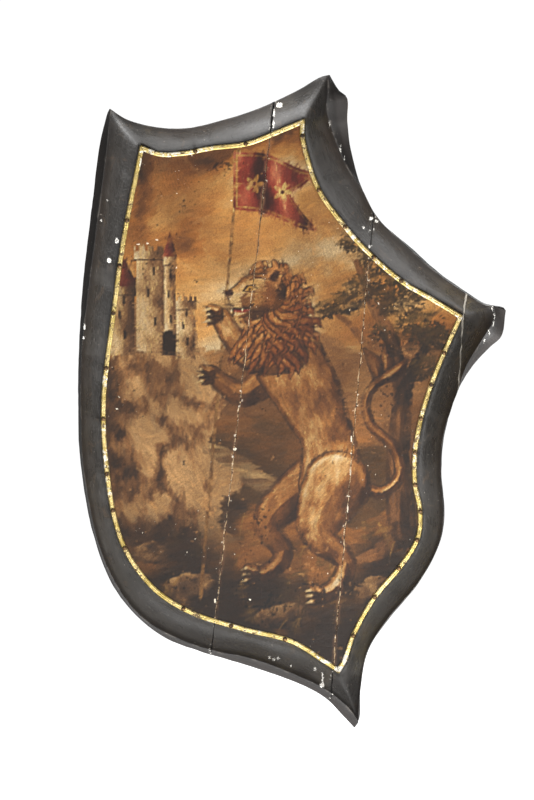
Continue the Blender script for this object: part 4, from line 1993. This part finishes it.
@dataclass
class ArmPad:
    """The padded arm rest: a crowned leather cushion with a welt and a row of small nails round it."""

    leather: Material
    brass: Material
    x: float = -0.022
    half_length: float = 0.060
    half_width: float = 0.048
    edge_height: float = 0.005
    crown: float = 0.017
    drawn_in: float = 0.005
    underside: float = 0.0004
    held_below: float = 0.0022
    voxel: float = 0.003
    most_swell: float = 0.004
    frames: int = 20
    welt_radius: float = 0.0016
    welt_height: float = 0.0022
    nail_height: float = 0.0046
    nails: int = 30
    nail_head: tuple[tuple[float, float], ...] = (
        (0, -0.001), (0.0019, -0.001), (0.0021, 0.0004), (0.0017, 0.0012), (0.0009, 0.0017), (0, 0.0018),
    )

    def back(self) -> float:
        """The boards' back at the pad's middle."""
        return board_rear_y(self.x, ARM_LINE_Z)

    def rim(self, share: float, up: float, steps: int = 128) -> Array:
        """Draw a row round the pad, drawn in between its corners.

        Args:
            share: How far out from the pad's middle it lies.
            up: Its height over the boards.
            steps: How many points it has.

        Returns:
            Its points.
        """
        angle = -2 * math.pi * np.arange(steps) / steps
        right, high = (np.sign(value) * np.abs(value) ** 0.4 for value in (np.cos(angle), np.sin(angle)))
        across = share * right * (self.half_length - self.drawn_in * (1 - high ** 2))
        along = share * high * (self.half_width - self.drawn_in * (1 - right ** 2))
        return np.column_stack([self.x + across, np.full(steps, self.back() + up), ARM_LINE_Z + along])

    def cushion(self) -> Form:
        """The cushion's closed form before it is filled."""
        under, edge = self.underside, self.edge_height
        rows = [(share, under) for share in (0, 0.5, 0.95)]
        rows += [(0.965, 3 * under), (0.97, edge * 0.6), (0.955, edge)]
        for share in (0.9, 0.82, 0.72, 0.6, 0.45, 0.3, 0.15, 0):
            rows.append((share, edge + (self.crown * 0.86 - edge) * (1 - share ** 2.4)))
        return lofted(np.array([self.rim(*row) for row in rows]))

    def filled(self, piece: bpy.types.Object) -> None:
        """Swell the cushion as stuffed leather, with cloth pressure, and keep the result in its mesh.

        Args:
            piece: The cushion.
        """
        remesh = piece.modifiers.new("remesh", "REMESH")
        remesh.mode = "VOXEL"
        remesh.voxel_size = self.voxel
        self.apply(piece)
        rest = [vert.co.copy() for vert in piece.data.vertices]
        floor = self.back() + self.held_below
        held = [vert.index for vert in piece.data.vertices if vert.co.y < floor]
        piece.vertex_groups.new(name="held").add(held, 1.0, "REPLACE")
        cloth = piece.modifiers.new("cloth", "CLOTH").settings
        cloth.use_pressure = True
        cloth.uniform_pressure_force = 3
        cloth.effector_weights.gravity = 0
        cloth.vertex_group_mass = "held"
        cloth.quality = 5
        scene = bpy.context.scene
        scene.frame_start, scene.frame_end = 1, self.frames
        for step in range(1, self.frames + 1):
            scene.frame_set(step)
        self.apply(piece)
        scene.frame_set(1)
        for vert, before in zip(piece.data.vertices, rest):
            swell = vert.co - before
            if swell.length > self.most_swell:
                vert.co = before + swell * (self.most_swell / swell.length)
            vert.co.y = max(vert.co.y, self.back() + self.underside)
        smooth = piece.modifiers.new("smooth", "SUBSURF")
        smooth.levels = smooth.render_levels = 1
        self.apply(piece)
        piece.data.shade_smooth()

    def apply(self, piece: bpy.types.Object) -> None:
        """Bake the piece's modifiers into its mesh.

        Args:
            piece: The cushion.
        """
        solved = piece.evaluated_get(bpy.context.evaluated_depsgraph_get())
        mesh, old = bpy.data.meshes.new_from_object(solved), piece.data
        piece.modifiers.clear()
        piece.data = mesh
        bpy.data.meshes.remove(old)

    def welt(self) -> Form:
        """A cord sewn into the cushion's edge."""
        row = self.rim(0.985, self.welt_height)
        out = np.cross(unit(np.roll(row, -1, axis=0) - np.roll(row, 1, axis=0)), (0, 1, 0))
        turns = np.linspace(0, 2 * math.pi, 11)[:, None, None]
        return lofted(row + self.welt_radius * (out * np.cos(turns) + np.array([0, 1, 0]) * np.sin(turns)))

    def nail_row(self) -> Form:
        """Small domed nails all round the cushion."""
        dome, mesh = turned(self.nail_head, 12), bpy.data.meshes.new("dome")
        dome.to_mesh(mesh)
        dome.free()
        row = bmesh.new()
        for spot in at_shares(self.rim(1.0, self.nail_height, 360), np.arange(self.nails) / self.nails):
            before = len(row.verts)
            row.from_mesh(mesh)
            bmesh.ops.translate(row, vec=spot, verts=row.verts[before:])
        bpy.data.meshes.remove(mesh)
        return row

    def build(self) -> None:
        """Make the cushion, its welt and its nails."""
        piece = finished("arm_cushion", self.cushion(), [self.leather])
        self.filled(piece)
        settled(piece, "leather", "arm_pad")
        settled(finished("arm_cushion_welt", self.welt(), [self.leather]), "leather")
        settled(finished("arm_cushion_nails", self.nail_row(), [self.brass]), "tack_brass")


@dataclass
class HangingRings:
    """Three forged rings, each hanging in a staple that is driven into the boards."""

    iron: Material
    radius: float = 0.016
    wire: float = 0.002
    staple_wire: float = 0.00175
    eye: float = 0.004
    standoff: float = 0.004
    leg: float = 0.009
    clearance: float = 0.0015
    points: tuple[float, ...] = (0.3, 0.8)
    place_shares: tuple[tuple[str, float, float], ...] = (
        ("hanging", -0.087, 0.171), ("guige_left", -0.25, 0.1), ("guige_right", 0.12, 0.1),
    )

    def ring(self, axis: Sequence[float], seed: int) -> Form:
        """Forge a ring of round bar, hammered a little uneven, with the scarf of its weld.

        Args:
            axis: The point that it swings about.
            seed: What its unevenness comes from.

        Returns:
            The ring, hanging.
        """
        angle = np.linspace(0, 2 * math.pi, 25)[:, None]
        turn = np.linspace(0, 2 * math.pi, 72, endpoint=False)
        uneven = 1 + 0.05 * np.sin(3 * turn + seed) + 0.03 * np.sin(8 * turn + angle)
        thick = self.wire * 0.94 * uneven * (1 + 0.12 * np.exp(-((turn - 4.6) / 0.12) ** 2))
        out = self.radius + thick * np.cos(angle)
        rings = (out * np.sin(turn), thick * np.sin(angle), out * np.cos(turn) - self.radius)
        return lofted(np.stack(rings, axis=-1) + np.array(axis))

    def staple(self, x: float, z: float, axis_y: float) -> Form:
        """Bend a staple, both its legs in the board.

        Args:
            x: Its place across.
            z: Its height.
            axis_y: Where the ring's axis lies in it.

        Returns:
            The staple.
        """
        span, base = self.eye + self.staple_wire, axis_y + self.standoff - self.wire
        end = board_rear_y(x, z) - self.leg
        leg = np.linspace(end, base, 6)[:-1]
        turns = np.linspace(math.pi, 0, 25)
        bend = [(x, base + span * math.sin(turn), z + span * math.cos(turn)) for turn in turns]
        path = np.array([*((x, y, z - span) for y in leg), *bend, *((x, y, z + span) for y in leg[::-1])])
        angles = np.linspace(0, 2 * math.pi, 16, endpoint=False)
        section = np.column_stack([np.cos(angles), np.sin(angles)]) * self.staple_wire * 0.98
        taper = np.ones(len(path))
        taper[:2], taper[-2:] = self.points, self.points[::-1]
        return swept(path, section * taper[:, None, None])

    def build(self) -> None:
        """Make each ring and its staple."""
        for seed, (name, across, up) in enumerate(self.place_shares):
            x, z = across * WIDTH, up * HEIGHT
            axis = (x, board_rear_y(x, z) + self.clearance + self.wire, z - self.eye + self.wire + FIT_GAP)
            staple = finished(f"{name}_bent_staple", self.staple(x, z, axis[1]), [self.iron])
            settled(staple, "iron", f"{name}_staple")
            ring = finished(f"{name}_forged_ring", self.ring(axis, seed), [self.iron])
            settled(ring, "iron", f"{name}_ring", body=f"{name}_ring_body")


@dataclass(frozen=True)
class Softbox:
    """A soft lamp: its place, its width and height, its power in watts and the point that it faces."""

    name: str
    place: tuple[float, float, float]
    size: tuple[float, float]
    power: float
    aim: tuple[float, float, float] = (0, -0.03, -0.12)

    def build(self) -> None:
        """Hang the lamp."""
        data = bpy.data.lights.new(self.name, "AREA")
        data.shape = "RECTANGLE"
        data.size, data.size_y = self.size
        data.energy = self.power
        lamp = bpy.data.objects.new(self.name, data)
        lamp.location = self.place
        lamp.rotation_euler = (Vector(self.aim) - Vector(self.place)).to_track_quat("-Z", "Y").to_euler()
        lamp.visible_camera = False
        bpy.context.scene.collection.objects.link(lamp)


@dataclass
class Studio:
    """A plain pale floor, soft white light and the photograph's view."""

    lens: float = 188.3
    sensor: float = 36
    view_end: float = 60
    eye: tuple[float, float, float] = (0.0054, -4.535, -0.1183)
    floor_z: float = -0.56
    floor_size: float = 15
    lamps: tuple[Softbox, ...] = (
        Softbox("left softbox", (-1.3, -2.5, 0.1), (0.9, 1.1), 11),
        Softbox("high softbox", (0.2, -1.6, 2.2), (3.0, 2.0), 30),
        Softbox("floor glow", (0.25, -1.5, -0.553), (1.5, 2.9), 39, (0.25, -1.5, 0.0)),
        Softbox("right floor glow", (0.5, -0.6, -0.552), (0.7, 1.0), 12, (0.5, -0.6, 0.0)),
        Softbox("rear lamp", (0.0, 2.4, 1.6), (2.4, 1.6), 40),
    )

    def camera(self) -> None:
        """Stand the camera square to the front."""
        data = bpy.data.cameras.new("camera")
        data.lens = self.lens
        data.sensor_width = self.sensor
        data.clip_end = self.view_end
        camera = bpy.data.objects.new("camera", data)
        camera.location = self.eye
        camera.rotation_euler = (math.pi / 2, 0, 0)
        bpy.context.scene.collection.objects.link(camera)
        bpy.context.scene.camera = camera

    def seen_or_lit(self, start: Pattern, lit: float, seen: float) -> Pattern:
        """One strength as light, and another where the camera looks straight at it."""
        by_camera = start.made("LightPath", output="Is Camera Ray")
        return start.made("Mix", {"data_type": "FLOAT"}, i0=by_camera, i2=lit, i3=seen)

    def floor(self) -> None:
        """Lay a wide pale floor."""
        form = bmesh.new()
        bmesh.ops.create_grid(form, x_segments=1, y_segments=1, size=self.floor_size)
        finish = Finish("pale floor")
        finish.surface.feed(
            Base_Color=(0.86, 0.86, 0.86), Roughness=0.9, Emission_Color=(1.0, 1.0, 1.0),
            Emission_Strength=self.seen_or_lit(finish.surface, 0.2, 1.0),
        )
        finished("floor", moved(form, (0, 0, self.floor_z)), [finish.material])

    def world(self) -> None:
        """White where the camera looks past everything, and dimmer as light."""
        world = bpy.data.worlds.new("studio")
        bpy.context.scene.world = world
        back = Pattern(cleared(world), "Background", Color=(1.0, 1.0, 1.0))
        back.feed(Strength=self.seen_or_lit(back, 0.11, 1.05))
        back.made("OutputWorld", Surface=back)

    def build(self) -> None:
        """Set everything up."""
        bpy.context.scene.view_settings.view_transform = "Standard"
        self.camera()
        self.floor()
        self.world()
        for lamp in self.lamps:
            lamp.build()


def main() -> None:
    """Build everything in order."""
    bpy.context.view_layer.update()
    workshop = Workshop()
    Studio().build()
    lacquer = BlackLacquer(workshop).make()
    board_browns = ((0.085, 0.046, 0.025), (0.30, 0.19, 0.105))
    back_wood = OldWood(workshop, "back wood", *board_browns, boards=True).make()
    gilding = WaterGilding(workshop).make()
    brass = AgedMetal("tack brass", (0.17, 0.10, 0.045), (0.03, 0.018, 0.010), 260.0).make()
    painting = OldPainting(workshop).make()
    batten_wood = OldWood(workshop, "batten wood", (0.11, 0.06, 0.03), (0.3, 0.19, 0.1), Grain.ACROSS).make()
    peg_browns = ((0.06, 0.035, 0.02), (0.17, 0.1, 0.055))
    peg_wood = OldWood(workshop, "peg end grain", *peg_browns, Grain.THROUGH).make()
    strap_leather = Leather(workshop, "strap leather", (0.03, 0.016, 0.01), (0.1, 0.045, 0.022)).make()
    pad_leather = Leather(workshop, "pad leather", (0.045, 0.022, 0.012), (0.14, 0.065, 0.03)).make()
    thread = OldWood(workshop, "waxed thread", (0.16, 0.1, 0.05), (0.4, 0.3, 0.17)).make()
    iron = AgedMetal("forged iron", (0.2, 0.19, 0.18), (0.06, 0.04, 0.03), 160.0).make()
    pad_brass = AgedMetal("pad brass", (0.5, 0.36, 0.16), (0.1, 0.07, 0.035)).make()
    boards = RimmedBoards(lacquer, back_wood)
    boards.build()
    picture = FieldPainting()
    picture.finish()
    log.info("painting: %d by %d touches of colour", picture.columns, picture.rows)
    PaintedFacing(painting, boards, picture).build()
    strips = GiltStrips(gilding, boards)
    strips.build()
    DomedNails(brass, strips).build()
    Battens(batten_wood, peg_wood).build()
    ArmStrap(
        "forearm_strap", strap_leather, thread, iron, x=0.072, width=0.040, thickness=0.0035,
        half_span=0.062, height=0.084, foot=0.036, nail_places=(-0.010, 0.010),
    ).build()
    ArmStrap(
        "hand_grip", strap_leather, thread, iron, x=-0.115, width=0.026, thickness=0.006, half_span=0.046,
        height=0.044, foot=0.032, nail_places=(0.0,), roundness=0.0026, stitch_inset=0.005,
    ).build()
    ArmPad(pad_leather, pad_brass).build()
    HangingRings(iron).build()


if __name__ == "__main__":
    main()
